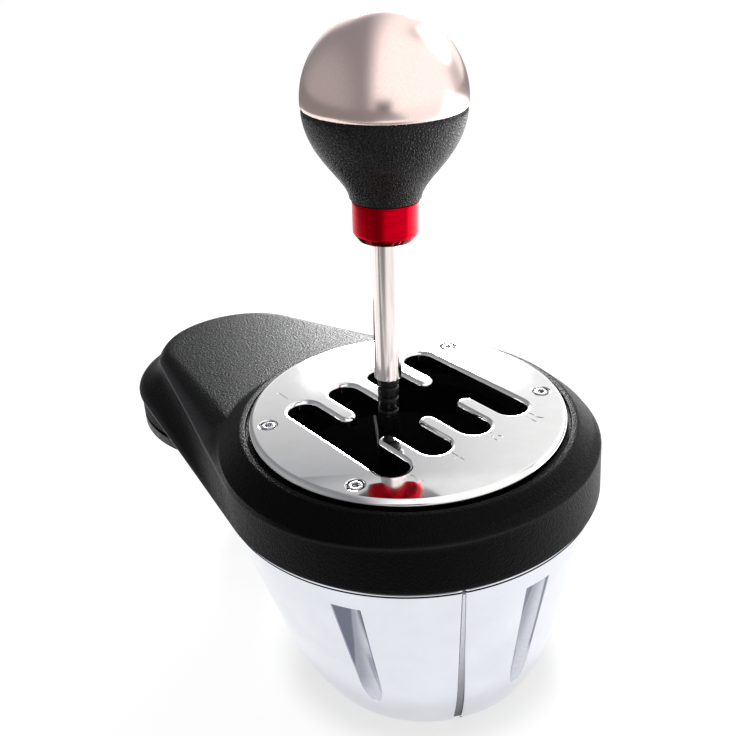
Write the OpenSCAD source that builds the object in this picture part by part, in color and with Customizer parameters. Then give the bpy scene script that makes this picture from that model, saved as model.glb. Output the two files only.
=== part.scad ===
// Gear shifter for a driving game: an H-gate on a bowl-shaped base, with a desk clamp under its tail.
// Millimetres. The origin is on the floor under the middle of the gate, +Z is up, +Y points along the tail.

/* [Gate] */
// Height of the gate plate's top above the floor
gate_top = 101; // [96:1:110]
// Radius of the round gate plate
gate_r = 54; // [52:0.5:54.5]
// Thickness of the gate plate
gate_t = 4.2; // [4:0.1:4.5]
// Distance between neighbouring slots
slot_pitch = 17.6; // [17:0.1:17.8]
// Width of a slot
slot_w = 11.1; // [11:0.1:11.6]
// Distance from the middle of the gate to the end of a slot
slot_reach = 28.6; // [28:0.1:29.2]
// Half the width of the neutral channel that joins the slots
neutral_half = 7.6; // [7:0.1:8]
// Places of the gate screws, right and forward of the middle
gate_screw_at = [41.1, 23.5];

/* [Cover] */
// Radius of the cover's lower rim under the gate
rim_r = 66; // [66:0.5:68]
// Radius of the lower rim at the tail's end
tail_rim_r = 48.1; // [47:0.1:49]
// Distance from the gate's middle to the centre of the tail's end
tail_y = 98.4; // [96:0.1:100]
// Height of the cover's lower rim above the floor
rim_z = 75.5; // [75:0.1:76]
// Wall of the cover
cover_wall = 3; // [2.5:0.1:3.2]

/* [Bowl] */
// Radius of the bowl at its upper rim
bowl_r = 65.3; // [65:0.1:65.5]
// How much the bowl's radius falls for each millimetre down its wall
bowl_taper = 0.266; // [0.25:0.002:0.27]
// How much more the wall draws in at the very bottom
bowl_tuck = 4.4; // [4:0.1:4.6]
// Shift of the bowl's bottom away from the tail
bowl_lean = 6.6; // [6:0.1:7]
// Wall of the bowl
bowl_wall = 3.4; // [3:0.1:3.5]
// Depth of the flutes in the bowl's outside
flute_depth = 2.2; // [1.5:0.1:2.4]

/* [Lever] */
// Height of the lever's pivot above the floor
pivot_z = 28; // [27.5:0.1:28.5]
// Diameter of the lever's steel core
rod_d = 6; // [5.8:0.1:6.2]
// Diameter of the black sleeve that runs in the gate
sleeve_d = 7; // [6.9:0.1:7.2]
// Diameter of the chrome tube above the sleeve
tube_d = 9; // [8.8:0.1:9.4]
// Radius of the ball end of the knob
knob_r = 24.6; // [23:0.1:25]
// Height of the knob's top above the gate
knob_top = 130.5; // [126:0.5:134]
// Lean of the lever to the right at rest, in degrees
lever_lean = 1.8; // [0:0.1:1.8]

/* [Clamp] */
// Radius of the clamp's round pads
clamp_r = 47; // [45:0.5:47.5]
// Diameter of the clamp screw
clamp_screw_d = 10; // [10:0.1:10.4]
// Distance between the clamp's guide pins
guide_span = 44; // [40:1:48]

/* [Hidden] */
$fn = 96;
fit = 0.05;
press = 0.02;
gap = 0.3;
eps = 0.2;
screw_r = 1.5;
screw_hole_r = 1.6;
slots = [-1.5, -0.5, 0.5, 1.5];
gate_z = gate_top - gate_t;
lever_x = -slot_pitch / 2;
lever_gate_x = lever_x + 0.7;
gate_screw_r = 1.25;
gate_screw_hole_r = 1.5;
gate_head_r = 2.35;
gate_head_h = 2.9;
gate_bore_r = 3.05;
gate_bore_z = gate_top - 3;
hex_r = 1.25;
hex_z = 1.2;
gate_edge = 1.9;

// The cover's three outlines, each [ring radius, end radius, end place, height at the ring, fall per mm]
rim_line = [rim_r, tail_rim_r, tail_y, rim_z, 0];
crease_line = [65.4, 34, 108, gate_top - 11.4, 0.055];
flat_line = [51, 29, 111.7, gate_top - 5.2, 0.078];
hull_sides = 64;
lip_r = 57.5;
lip_z = gate_top - 2.5;
bevel_r = 64.9;
bevel_z = gate_top - 9;
skirt_h = 4;
recess_r = gate_r + 1.3;
seat_r = 44;
seat_t = 4.2;
backing_r = 52;
backing_bore_r = 40.5;
backing_t = 4.4;

bowl_top = rim_z - gap;
tuck_h = 24.7;
edge_h = 3.2;
edge_in = 2.5;
flange_top = 5.5;
flange_r = 33.6;
bowl_screw_at = 37;
seam_at = -26.5;
flute_at = [-2, 60, 120, 240, 300];
flute_hi = 66.2;
flute_lip = 66.9;
bowl_step = 7.5;
strip_half = 5;
strip_t = 1.4;
strip_rows = [13, 18, 24, 32, 44, 55, 66];
bowl_rows = [0.8, 2.4, flange_top, flange_top + 0.1, 9, 14, 22, 32, 44, 55, flute_hi, flute_lip, bowl_top];

rim_ring_r = 58.2;
rim_ring_bore_r = 54.5;
rim_ring_z = 66.5;
rim_ring_h = 19;

base_y = -bowl_lean * 0.9;
plate_z0 = flange_top + eps;
plate_z1 = 12;
plate_r = 40.2;
pad_r = 32.6;
mount_x = 28.5;
mount_r = 2.5;
mount_pad_r = 3.2;

yoke = [34, 34, 12];
window = [22, 25];
trunnion_d = 8;
block = [24, 8];
block_y = 19;
block_top = 38;
block_z0 = plate_z1 + 0.1;
bush_r = 6;
pin_d = 6;
plunger_x = 6;
plunger_r = 2;
hub = [21.2, 16];
hub_z0 = 21.5;
hub_z1 = 38;
board_z = 13.5;
board = [18, 30, 1.5];
block_screw_at = [8, 23];
block_screw_r = 2;
block_head_r = 3.6;
board_screw_at = [6.5, 12.5];

sleeve_top = gate_top + 14.8;
tube_chamfer = 0.6;
collar_z0 = gate_top + 63.6;
collar_z1 = gate_top + 76;
collar_r = 10.4;
collar_foot = [1.6, 2.3];
ball_z = gate_top + knob_top - knob_r;
seam_z = ball_z - 2.1;
grip_foot_r = 11;
cap_wall = 2.5;
rod_z0 = pivot_z + 3.8;
rod_z1 = seam_z - 8;
rod_bore_r = rod_d / 2 + press;
insert_r = 5;

pad_z0 = 68;
pad_z1 = 75.5;
tail_plate = [75.7, 79];
tail_step = 1.2;
tail_inset = [5.4, 9.6];
tail_head_r = 2.9;
clamp_bush_r = 7;
guide_r = 3;
jaw_z = [62.5, 66.5];
nut_z0 = 50;
guide_z0 = 30;
knob_z = [7, 20];
bowl_clear_r = 67.5;
tail_screws = [[33, 80, 87], [-33, 80, 87], [24, 120, 84.5], [-24, 120, 84.5]];

socket_at = [-15.2, 36, 19.8];
socket = [12.4, 10.4, 8.4];
socket_wall = 1.6;

spring_r = 2.4;
wire_d = 1.2;
spring_turns = 3;
spring_x = 14.2;
spring_z = [plate_z1 + 0.3, pivot_z - yoke[2] / 2 - 0.3];

function bowl_shift(z) = -bowl_lean * (bowl_top - z) / bowl_top;
function bowl_radius(z) = bowl_r - bowl_taper * (bowl_top - z) - bowl_tuck * pow(max(0, 1 - z / tuck_h), 2);
function bowl_outer(z) = bowl_radius(z) - edge_in * pow(max(0, 1 - z / edge_h), 2);
function bowl_inner(z) = z <= flange_top ? flange_r : bowl_radius(z) - bowl_wall;
function flute_half(z) = 3.4 + 2.4 * z / flute_hi;
function flute_cut(z) = z > flute_hi ? 0 : flute_depth * min(1, 0.35 + z / 12);
function seam_half(z) = 0.4 + 1.1 * (1 - z / bowl_top);

// A station of the bowl is [angle, share of the flute's half width, share of the flute's depth]
function flutes_in(a0, a1) = [for (f = flute_at) if (f > a0 && f < a1) f];
function flute_near(a) = min([for (f = flute_at) abs(a - f)]) <= 9;
function plain_in(a0, a1) = [for (a = [a0 + bowl_step : bowl_step : a1 - 5]) if (!flute_near(a)) [a, 0, 0]];
function flute_stations(f) = [[f, -1, 0], [f, -0.45, 1], [f, 0.45, 1], [f, 1, 0]];
function merge(a, b) = [for (s = a) if (s[0] < b[0][0]) s, for (s = b) s, for (s = a) if (s[0] > b[0][0]) s];
function add_flutes(list, marks, i = 0) =
    i == len(marks) ? list : add_flutes(merge(list, flute_stations(marks[i])), marks, i + 1);
function stations(a0, a1) =
    concat([[a0, 0, 0]], add_flutes(plain_in(a0, a1), flutes_in(a0, a1)), [[a1, 0, 0]]);
function station_angle(s, z, a0, a1) =
    let (seam = seam_half(z) / bowl_radius(z) * 180 / PI)
    s[0] == a0 ? a0 + seam : s[0] == a1 ? a1 - seam : s[0] + s[1] * flute_half(z);
function around(r, a, z) = [r * sin(a), bowl_shift(z) - r * cos(a), z];

function coil_point(t) = [spring_r * cos(360 * t), spring_r * sin(360 * t),
    spring_z[0] + wire_d / 2 + (spring_z[1] - spring_z[0] - wire_d) * t / spring_turns];
coil_steps = [for (i = [0 : 8 * spring_turns]) i / 8];
coil_spans = [for (a = coil_steps) for (b = coil_steps) if (b > a + 0.5) norm(coil_point(a) - coil_point(b))];
coil_gap = min(coil_spans) - wire_d;
echo(coil_gap = coil_gap);

function bezier(a, b, c, d, n) =
    [for (i = [0 : n]) let (t = i / n, s = 1 - t)
        s * s * s * a + 3 * s * s * t * b + 3 * s * t * t * c + t * t * t * d];

// Two thin discs that mark one outline of the cover, moved in by inset
module outline_discs(line, inset = 0, drop = 0) {
    translate([0, 0, line[3] - drop]) rotate([-atan(line[4]), 0, 0]) {
        cylinder(r = line[0] - inset, h = eps, $fn = hull_sides);
        translate([0, line[2], 0]) cylinder(r = line[1] - inset, h = eps, $fn = hull_sides);
    }
}

// Ring and tail as one closed body, moved in by inset
module cover_body(inset, drop) {
    hull() {
        outline_discs(rim_line, inset, drop > 0 ? eps : 0);
        outline_discs(crease_line, inset, drop / 2);
    }
    hull() {
        outline_discs(crease_line, inset, drop / 2);
        outline_discs(flat_line, inset, drop);
    }
}

module at_gate_screws() {
    for (x = [-1, 1], y = [-1, 1]) translate([x * gate_screw_at[0], y * gate_screw_at[1], 0]) children();
}

module top_cover() {
    color("#1c1c1e") {
        difference() {
            union() {
                cover_body(0, 0);
                translate([0, 0, bevel_z]) cylinder(r1 = bevel_r, r2 = lip_r, h = lip_z - bevel_z);
                translate([0, 0, bevel_z - skirt_h]) cylinder(r = bevel_r, h = skirt_h);
            }
            intersection() {
                cover_body(cover_wall, cover_wall);
                translate([-90, -90, 60]) cube([180, 260, gate_z - seat_t - 60]);
            }
            translate([0, 0, gate_z - seat_t - backing_t - 1])
                cylinder(r = backing_r + 0.5, h = backing_t + 1);
            translate([0, 0, gate_z]) cylinder(r = recess_r, h = 20);
            translate([0, 0, gate_z - 10]) cylinder(r = seat_r, h = 20);
            at_gate_screws() translate([0, 0, gate_z - 10]) cylinder(r = gate_screw_hole_r, h = 20);
        }
        for (s = tail_screws) translate([s[0], s[1], tail_plate[1] + eps]) difference() {
            cylinder(r = 4, h = s[2] - tail_plate[1] - eps);
            translate([0, 0, -eps]) cylinder(r = screw_hole_r, h = 6);
        }
    }
}

// Slots and neutral channel, with round ends on the fingers of metal between the slots
module gate_slots() {
    finger_r = (slot_pitch - slot_w) / 2;
    for (i = slots) translate([i * slot_pitch, 0]) {
        square([slot_w, 2 * slot_reach - slot_w], center = true);
        for (y = [-1, 1]) translate([0, y * (slot_reach - slot_w / 2)]) circle(d = slot_w);
    }
    square([3 * slot_pitch + slot_w, 2 * neutral_half], center = true);
    for (i = [-1, 0, 1], side = [0, 1]) mirror([0, side])
        translate([i * slot_pitch, neutral_half]) difference() {
            translate([-finger_r - eps, -eps]) square([2 * finger_r + 2 * eps, finger_r + eps]);
            translate([0, finger_r]) circle(r = finger_r);
        }
}

module gate_plate() {
    color("#d9dadc") difference() {
        rotate_extrude() polygon([[0, gate_z], [gate_r, gate_z], [gate_r, gate_top - gate_edge],
            [gate_r - 0.3 * gate_edge, gate_top - 0.3 * gate_edge], [gate_r - gate_edge, gate_top],
            [0, gate_top]]);
        translate([0, 0, gate_z - 1]) linear_extrude(gate_t + 2) gate_slots();
        at_gate_screws() {
            translate([0, 0, gate_z - 1]) cylinder(r = gate_screw_hole_r, h = gate_t);
            translate([0, 0, gate_bore_z]) cylinder(r = gate_bore_r, h = 5);
        }
    }
}

module gate_plate_screws() {
    color("#8d8f93") at_gate_screws() translate([0, 0, gate_bore_z]) difference() {
        union() {
            cylinder(r = gate_head_r, h = gate_head_h);
            translate([0, 0, -9]) cylinder(r = gate_screw_r, h = 9.5);
        }
        translate([0, 0, hex_z]) cylinder(r = hex_r, h = 4, $fn = 6);
    }
}

module gate_backing_ring() {
    color("#7b7d80") translate([0, 0, gate_z - seat_t - backing_t - eps]) difference() {
        cylinder(r = backing_r, h = backing_t);
        translate([0, 0, -1]) cylinder(r = backing_bore_r, h = 7);
        at_gate_screws() translate([0, 0, -1]) cylinder(r = gate_screw_r + fit, h = 7);
    }
}

// Half of the bowl between two seam angles, as rows of points up the wall, outside and inside
module bowl_half(a0, a1) {
    marks = stations(a0, a1);
    n = len(marks);
    m = len(bowl_rows);
    outer = [for (z = bowl_rows) for (s = marks)
        around(bowl_outer(z) - s[2] * flute_cut(z), station_angle(s, z, a0, a1), z)];
    inner = [for (z = bowl_rows) for (s = marks) around(bowl_inner(z), station_angle(s, z, a0, a1), z)];
    k = n * m;
    function quad(a, b, c, d) = [[a, b, c], [a, c, d]];
    faces = [
        for (i = [0 : m - 2]) for (j = [0 : n - 2]) let (p = i * n + j)
            each concat(quad(p, p + n, p + n + 1, p + 1), quad(k + p, k + p + 1, k + p + n + 1, k + p + n)),
        for (j = [0 : n - 2]) let (t = (m - 1) * n + j)
            each concat(quad(j, j + 1, k + j + 1, k + j), quad(t, k + t, k + t + 1, t + 1)),
        for (i = [0 : m - 2]) let (p = i * n, q = i * n + n - 1)
            each concat(quad(p, k + p, k + p + n, p + n), quad(q, q + n, k + q + n, k + q))];
    polyhedron(points = concat(outer, inner), faces = faces, convexity = 10);
}

module at_bowl_screws() {
    for (a = [45 : 90 : 315])
        translate([bowl_screw_at * sin(a), base_y - bowl_screw_at * cos(a), 0]) children();
}

module bowl_right() {
    color("#c9cacc") difference() {
        bowl_half(seam_at, seam_at + 180);
        at_bowl_screws() translate([0, 0, -1]) cylinder(r = screw_hole_r, h = 7);
    }
}

module bowl_left() {
    color("#c9cacc") difference() {
        bowl_half(seam_at + 180, seam_at + 360);
        at_bowl_screws() translate([0, 0, -1]) cylinder(r = screw_hole_r, h = 7);
        translate([socket_at[0] - 0.4, 30, socket_at[2] - 0.4]) cube([socket[0] + 0.8, 30, socket[2] + 0.8]);
    }
}

// Strips that close the bowl's two seams from the inside
module seam_strips() {
    rows = len(strip_rows);
    shares = [-1, 0, 1];
    color("#c9cacc") for (seam = [seam_at, seam_at + 180]) {
        points = [for (z = strip_rows) for (q = [[0, shares], [strip_t, [1, 0, -1]]])
            let (r = bowl_radius(z) - bowl_wall - eps - q[0]) for (k = q[1])
                around(r, seam + k * strip_half / r * 180 / PI, z)];
        n = 6;
        top = (rows - 1) * n;
        faces = [for (i = [0 : rows - 2]) for (j = [0 : n - 1])
            let (a = i * n + j, b = i * n + (j + 1) % n) each [[a, a + n, b + n], [a, b + n, b]],
            each [[0, 1, 4], [0, 4, 5], [1, 2, 3], [1, 3, 4]],
            each [for (f = [[0, 4, 1], [0, 5, 4], [1, 3, 2], [1, 4, 3]]) [for (v = f) top + v]]];
        polyhedron(points = points, faces = faces, convexity = 4);
    }
}

module rim_ring() {
    color("#9b9da0") translate([0, 0, rim_ring_z]) difference() {
        cylinder(r = rim_ring_r, h = rim_ring_h);
        translate([0, 0, -1]) cylinder(r = rim_ring_bore_r, h = rim_ring_h + 2);
        at_rim_screws() cylinder(r = screw_hole_r, h = 12, center = true);
    }
}

module at_rim_screws() {
    middle = (rim_ring_r + rim_ring_bore_r) / 2 + 0.15;
    for (a = [15 : 60 : 315], z = [3.5, 14.5])
        rotate([0, 0, a]) translate([middle, 0, z]) rotate([0, 90, 0]) children();
}

module rim_set_screws() {
    color("#404144") translate([0, 0, rim_ring_z]) at_rim_screws()
        cylinder(r = screw_r, h = 5, center = true);
}

module at_block_screws() {
    for (x = [-1, 1], y = [-1, 1])
        translate([lever_x + x * block_screw_at[0], y * block_screw_at[1], 0]) children();
}

module base_plate() {
    color("#6f7174") difference() {
        translate([0, base_y, plate_z0]) cylinder(r = plate_r, h = plate_z1 - plate_z0);
        for (x = [-1, 1]) translate([x * mount_x, base_y, 0]) cylinder(r = mount_r, h = 20);
        at_bowl_screws() cylinder(r = screw_hole_r + 0.1, h = 20);
        at_block_screws() {
            cylinder(r = block_screw_r + 0.1, h = 20);
            cylinder(r = block_head_r + eps, h = plate_z0 + 3.2);
        }
    }
}

module base_pad() {
    color("#202022") difference() {
        translate([0, base_y, 0]) cylinder(r = pad_r, h = flange_top);
        for (x = [-1, 1]) translate([x * mount_x, base_y, -1]) cylinder(r = mount_pad_r, h = 20);
    }
}

module bowl_screws() {
    color("#404144") at_bowl_screws() {
        translate([0, 0, 1.5]) cylinder(r = screw_r, h = plate_z1 - 1);
        translate([0, 0, plate_z1 + 0.1]) cylinder(r = 2.8, h = 2.2);
    }
}

module bearing_block() {
    difference() {
        translate([lever_x - block[0] / 2, block_y, block_z0])
            cube([block[0], block[1], block_top - block_z0]);
        translate([lever_x, 0, pivot_z]) rotate([-90, 0, 0]) cylinder(r = bush_r + press, h = 60);
        for (x = [-1, 1]) translate([lever_x + x * block_screw_at[0], block_screw_at[1], 0])
            cylinder(r = block_screw_r + 0.1, h = 24);
    }
}

module bush() {
    translate([lever_x, block_y, pivot_z]) rotate([-90, 0, 0]) difference() {
        cylinder(r = bush_r, h = block[1]);
        translate([0, 0, -1]) cylinder(r = trunnion_d / 2 + fit, h = block[1] + 2);
    }
}

module front_bearing_block() { color("#a9abae") mirror([0, 1, 0]) bearing_block(); }

module rear_bearing_block() { color("#a9abae") bearing_block(); }

module front_bush() { color("#b08d4c") mirror([0, 1, 0]) bush(); }

module rear_bush() { color("#b08d4c") bush(); }

module thrust_washers() {
    middle = (yoke[1] / 2 + block_y) / 2;
    color("#e6e3da") for (side = [-1, 1])
        translate([lever_x, side * middle, pivot_z]) rotate([90, 0, 0]) difference() {
            cylinder(r = 8, h = 1.4, center = true);
            cylinder(r = trunnion_d / 2 + 0.1, h = 3, center = true);
        }
}

module bearing_block_screws() {
    color("#404144") at_block_screws() {
        translate([0, 0, plate_z0 + 0.1]) cylinder(r = block_head_r, h = 3);
        translate([0, 0, plate_z0 + 1]) cylinder(r = block_screw_r, h = 17);
    }
}

module at_board_corners() {
    for (x = [-1, 1], y = [-1, 1])
        translate([lever_x + x * board_screw_at[0], y * board_screw_at[1], 0]) children();
}

module sensor_board() {
    color("#1d5b34") difference() {
        translate([lever_x - board[0] / 2, -board[1] / 2, board_z]) cube(board);
        at_board_corners() cylinder(r = 1.1, h = 30);
    }
}

module sensor_chip() {
    color("#18181a") translate([lever_x - 3, -3, board_z + board[2]]) cube([6, 6, 1.2]);
}

module board_screws() {
    color("#b9bbbe") at_board_corners() {
        difference() {
            translate([0, 0, plate_z1]) cylinder(r = 2.2, h = board_z - plate_z1);
            cylinder(r = 1.05, h = 30);
        }
        translate([0, 0, plate_z1 + 0.1]) cylinder(r = 1, h = 4);
        translate([0, 0, board_z + board[2]]) cylinder(r = 1.9, h = 1.2);
    }
}

module cable_socket() {
    color("#2a2a2c") difference() {
        translate(socket_at) cube(socket);
        translate(socket_at + [socket_wall, 2, socket_wall])
            cube([socket[0] - 2 * socket_wall, 12, socket[2] - 2 * socket_wall]);
    }
}

// One unbroken wire wound round the vertical axis
module coil_spring() {
    sides = 6;
    rings = len(coil_steps);
    points = [for (t = coil_steps) for (i = [0 : sides - 1])
        let (c = coil_point(t), a = 360 * i / sides, out = wire_d / 2 * cos(a))
        [c[0] + out * cos(360 * t), c[1] + out * sin(360 * t), c[2] + wire_d / 2 * sin(a)]];
    last = (rings - 1) * sides;
    faces = [
        for (r = [0 : rings - 2]) for (i = [0 : sides - 1])
            let (a = r * sides + i, b = r * sides + (i + 1) % sides)
            each [[a, b, b + sides], [a, b + sides, a + sides]],
        for (i = [1 : sides - 2]) each [[0, i + 1, i], [last, last + i, last + i + 1]]];
    polyhedron(points = points, faces = faces, convexity = 10);
}

module centring_spring_left() { color("#c4c6c8") translate([lever_x - spring_x, 0, 0]) coil_spring(); }

module centring_spring_right() { color("#c4c6c8") translate([lever_x + spring_x, 0, 0]) coil_spring(); }

// Outline of ring and tail drawn from two circles and their common tangents
module tear_outline(r0, r1, y1) {
    a = asin((r0 - r1) / y1);
    circle(r = r0);
    translate([0, y1]) circle(r = r1);
    polygon([[-r0 * cos(a), r0 * sin(a)], [r0 * cos(a), r0 * sin(a)],
        [r1 * cos(a), y1 + r1 * sin(a)], [-r1 * cos(a), y1 + r1 * sin(a)]]);
}

module at_guides() {
    for (x = [-1, 1]) translate([x * guide_span / 2, tail_y, 0]) children();
}

module tail_base_plate() {
    color("#232325") difference() {
        union() {
            translate([0, 0, tail_plate[0]]) linear_extrude(tail_step)
                tear_outline(rim_r - tail_inset[0], tail_rim_r - tail_inset[0], tail_y);
            translate([0, 0, tail_plate[0]]) linear_extrude(tail_plate[1] - tail_plate[0])
                tear_outline(rim_r - tail_inset[1], tail_rim_r - tail_inset[1], tail_y);
        }
        translate([0, 0, 60]) cylinder(r = bowl_clear_r, h = 30);
        translate([0, tail_y, 60]) cylinder(r = clamp_bush_r + press, h = 30);
        at_guides() translate([0, 0, 60]) cylinder(r = guide_r + press, h = 30);
        for (s = tail_screws) translate([s[0], s[1], 0]) {
            translate([0, 0, 60]) cylinder(r = screw_hole_r, h = 30);
            translate([0, 0, 60]) cylinder(r = tail_head_r + eps, h = tail_plate[0] + 1.9 - 60);
        }
    }
}

module tail_plate_screws() {
    color("#404144") for (s = tail_screws) translate([s[0], s[1], tail_plate[0] + 0.1]) {
        cylinder(r = tail_head_r, h = 1.7);
        cylinder(r = screw_r, h = 7);
    }
}

// Round pad with its inner edge cut clear of the bowl
module clamp_disc(r, z0, z1) {
    translate([0, 0, z0]) difference() {
        translate([0, tail_y, 0]) cylinder(r = r, h = z1 - z0);
        translate([0, 0, -1]) cylinder(r = bowl_clear_r + clamp_r - r, h = z1 - z0 + 2);
    }
}

module tail_pad() {
    color("#17171a") difference() {
        clamp_disc(clamp_r, pad_z0, pad_z1);
        translate([0, tail_y, 60]) cylinder(r = 9, h = 30);
        at_guides() translate([0, 0, 60]) cylinder(r = guide_r + press, h = 30);
    }
}

module clamp_bush() {
    color("#b08d4c") translate([0, tail_y, tail_plate[0]]) difference() {
        cylinder(r = clamp_bush_r, h = tail_plate[1] - tail_plate[0]);
        translate([0, 0, -1]) cylinder(r = clamp_screw_d / 2 + fit, h = 10);
    }
}

module guide_pins() {
    color("#c9cbce") at_guides() translate([0, 0, guide_z0])
        cylinder(r = guide_r, h = tail_plate[1] - guide_z0);
}

module gimbal_yoke() {
    color("#85878a") translate([lever_x, 0, pivot_z]) difference() {
        union() {
            cube(yoke, center = true);
            rotate([90, 0, 0]) cylinder(d = trunnion_d, h = 2 * (block_y + block[1]), center = true);
        }
        cube([window[0], window[1], 40], center = true);
        rotate([0, 90, 0]) cylinder(r = pin_d / 2 + press, h = 60, center = true);
        translate([plunger_x, 5, 0]) rotate([-90, 0, 0]) cylinder(r = plunger_r + fit, h = 20);
    }
}

module lever_pin() {
    color("#d4d6d8") translate([lever_x, 0, pivot_z]) rotate([0, 90, 0])
        cylinder(d = pin_d, h = yoke[0], center = true);
}

module detent_plunger() {
    color("#d4d6d8") translate([lever_x + plunger_x, 9.6, pivot_z]) rotate([-90, 0, 0])
        cylinder(r = plunger_r, h = 7);
}

// The lever's own axis, upright at the origin, set into the gate with its lean
module on_lever() {
    translate([lever_gate_x, 0, gate_top]) rotate([0, lever_lean, 0]) translate([0, 0, -gate_top]) children();
}

module lever_hub() {
    color("#9b9da0") difference() {
        translate([lever_x - hub[0] / 2, -hub[1] / 2, hub_z0]) cube([hub[0], hub[1], hub_z1 - hub_z0]);
        translate([lever_x, 0, pivot_z]) rotate([0, 90, 0])
            cylinder(r = pin_d / 2 + 0.06, h = 60, center = true);
        on_lever() translate([0, 0, rod_z0 - eps]) cylinder(r = rod_bore_r, h = 20);
    }
}

module lever_rod() {
    color("#b9bbbe") on_lever() translate([0, 0, rod_z0]) cylinder(d = rod_d, h = rod_z1 - rod_z0);
}

module tube(r_out, r_in, z0, z1) {
    on_lever() translate([0, 0, z0]) difference() {
        cylinder(r = r_out, h = z1 - z0);
        translate([0, 0, -1]) cylinder(r = r_in, h = z1 - z0 + 2);
    }
}

module gate_sleeve() {
    color("#151517") tube(sleeve_d / 2, rod_bore_r, hub_z1 + 2, sleeve_top);
}

module lever_tube() {
    outer = tube_d / 2;
    color("#dfe1e4") on_lever() rotate_extrude() polygon([[rod_bore_r, sleeve_top],
        [outer - tube_chamfer, sleeve_top], [outer, sleeve_top + tube_chamfer],
        [outer, collar_z1], [rod_bore_r, collar_z1]]);
}

module knob_collar() {
    bore = tube_d / 2 + press;
    color("#b3121c") on_lever() rotate_extrude() polygon([[bore, collar_z0],
        [collar_r - collar_foot[0], collar_z0], [collar_r, collar_z0 + collar_foot[1]],
        [collar_r, collar_z1], [bore, collar_z1]]);
}

module knob_grip() {
    side = bezier([grip_foot_r, collar_z1 + eps], [11.3, collar_z1 + 7], [24.2, collar_z1 + 14],
        [knob_r - 0.2, seam_z], 14);
    dome_r = knob_r - cap_wall - gap;
    rise = seam_z - ball_z;
    dome_a0 = asin(rise / dome_r);
    dome = [for (i = [0 : 10]) let (a = dome_a0 + (90 - dome_a0) * i / 10)
        [i == 10 ? 0 : dome_r * cos(a), ball_z + dome_r * sin(a)]];
    color("#1a1a1b") on_lever() difference() {
        rotate_extrude() polygon(concat([[0, collar_z1 + eps]], side, dome));
        cylinder(r = insert_r + press, h = seam_z - 6);
    }
}

module knob_cap() {
    rise = seam_z + eps - ball_z;
    inner_r = knob_r - cap_wall;
    outer_a = asin(rise / knob_r);
    inner_a = asin(rise / inner_r);
    steps = 20;
    function arc(r, a0, i) =
        let (a = a0 + (90 - a0) * i / steps) [i == steps ? 0 : r * cos(a), ball_z + r * sin(a)];
    outer = [for (i = [0 : steps]) arc(knob_r, outer_a, i)];
    inner = [for (i = [steps : -1 : 0]) arc(inner_r, inner_a, i)];
    color("#cfcac4") on_lever() rotate_extrude() polygon(concat(outer, inner));
}

module knob_insert() {
    color("#b08d4c") tube(insert_r, rod_bore_r, collar_z1 + eps, seam_z - 6.2);
}

module magnet_holder() {
    color("#2a2a2c") translate([lever_x, 0, hub_z0 - 2.5]) difference() {
        cylinder(r = 4, h = 2.4);
        translate([0, 0, -1]) cylinder(r = 2.55, h = 3);
    }
}

module magnet() {
    color("#b9bbbe") translate([lever_x, 0, hub_z0 - 2.3]) cylinder(r = 2.5, h = 1.7);
}

module clamp_screw() {
    color("#b9bbbe") translate([0, tail_y, 0]) {
        translate([0, 0, knob_z[0] + 1]) cylinder(d = clamp_screw_d, h = tail_plate[1] + 2 - knob_z[0]);
        translate([0, 0, tail_plate[1] + eps]) cylinder(r = 8, h = 3);
    }
}

module clamp_knob() {
    color("#1a1a1c") translate([0, tail_y, knob_z[0]]) difference() {
        union() {
            cylinder(r = 14, h = knob_z[1] - knob_z[0]);
            for (a = [0 : 60 : 300]) rotate([0, 0, a]) translate([13, 0, 0])
                cylinder(r = 4, h = knob_z[1] - knob_z[0]);
        }
        translate([0, 0, 1]) cylinder(r = clamp_screw_d / 2 + press, h = 20);
    }
}

module clamp_retaining_ring() {
    color("#404144") translate([0, tail_y, pad_z1 - 1.6]) difference() {
        cylinder(r = 8, h = 1.5);
        translate([0, 0, -1]) cylinder(r = clamp_screw_d / 2 + press, h = 4);
    }
}

module clamp_jaw() {
    color("#17171a") difference() {
        clamp_disc(clamp_r, jaw_z[0], jaw_z[1]);
        translate([0, tail_y, nut_z0]) cylinder(r = 6, h = 30);
        at_guides() translate([0, 0, nut_z0]) cylinder(r = guide_r + 0.08, h = 30);
    }
}

module jaw_pad() {
    color("#2b2b2d") difference() {
        clamp_disc(clamp_r - 3, jaw_z[1], jaw_z[1] + 1.1);
        translate([0, tail_y, nut_z0]) cylinder(r = 9, h = 30);
        at_guides() translate([0, 0, nut_z0]) cylinder(r = guide_r + 0.4, h = 30);
    }
}

module jaw_nut() {
    color("#b08d4c") translate([0, tail_y, nut_z0]) difference() {
        cylinder(r = 10, h = jaw_z[0] - nut_z0);
        translate([0, 0, -1]) cylinder(r = clamp_screw_d / 2 + 0.08, h = 30);
    }
}

top_cover();
gate_plate();
gate_plate_screws();
gate_backing_ring();
bowl_right();
bowl_left();
seam_strips();
rim_ring();
rim_set_screws();
base_plate();
base_pad();
bowl_screws();
front_bearing_block();
rear_bearing_block();
front_bush();
rear_bush();
thrust_washers();
bearing_block_screws();
sensor_board();
sensor_chip();
board_screws();
cable_socket();
centring_spring_left();
centring_spring_right();
tail_base_plate();
tail_plate_screws();
tail_pad();
clamp_bush();
guide_pins();
gimbal_yoke();
lever_pin();
detent_plunger();
lever_hub();
lever_rod();
gate_sleeve();
lever_tube();
knob_collar();
knob_grip();
knob_cap();
knob_insert();
magnet_holder();
magnet();
clamp_screw();
clamp_knob();
clamp_retaining_ring();
clamp_jaw();
jaw_pad();
jaw_nut();
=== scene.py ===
"""Gear shifter for a driving game: finished surfaces, materials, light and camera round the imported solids.

Sizes in the classes are millimetres, and meshes are metres in the part's own frame: the origin is on the
floor under the middle of the gate, +Z is up and +Y points along the tail.
"""

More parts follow.
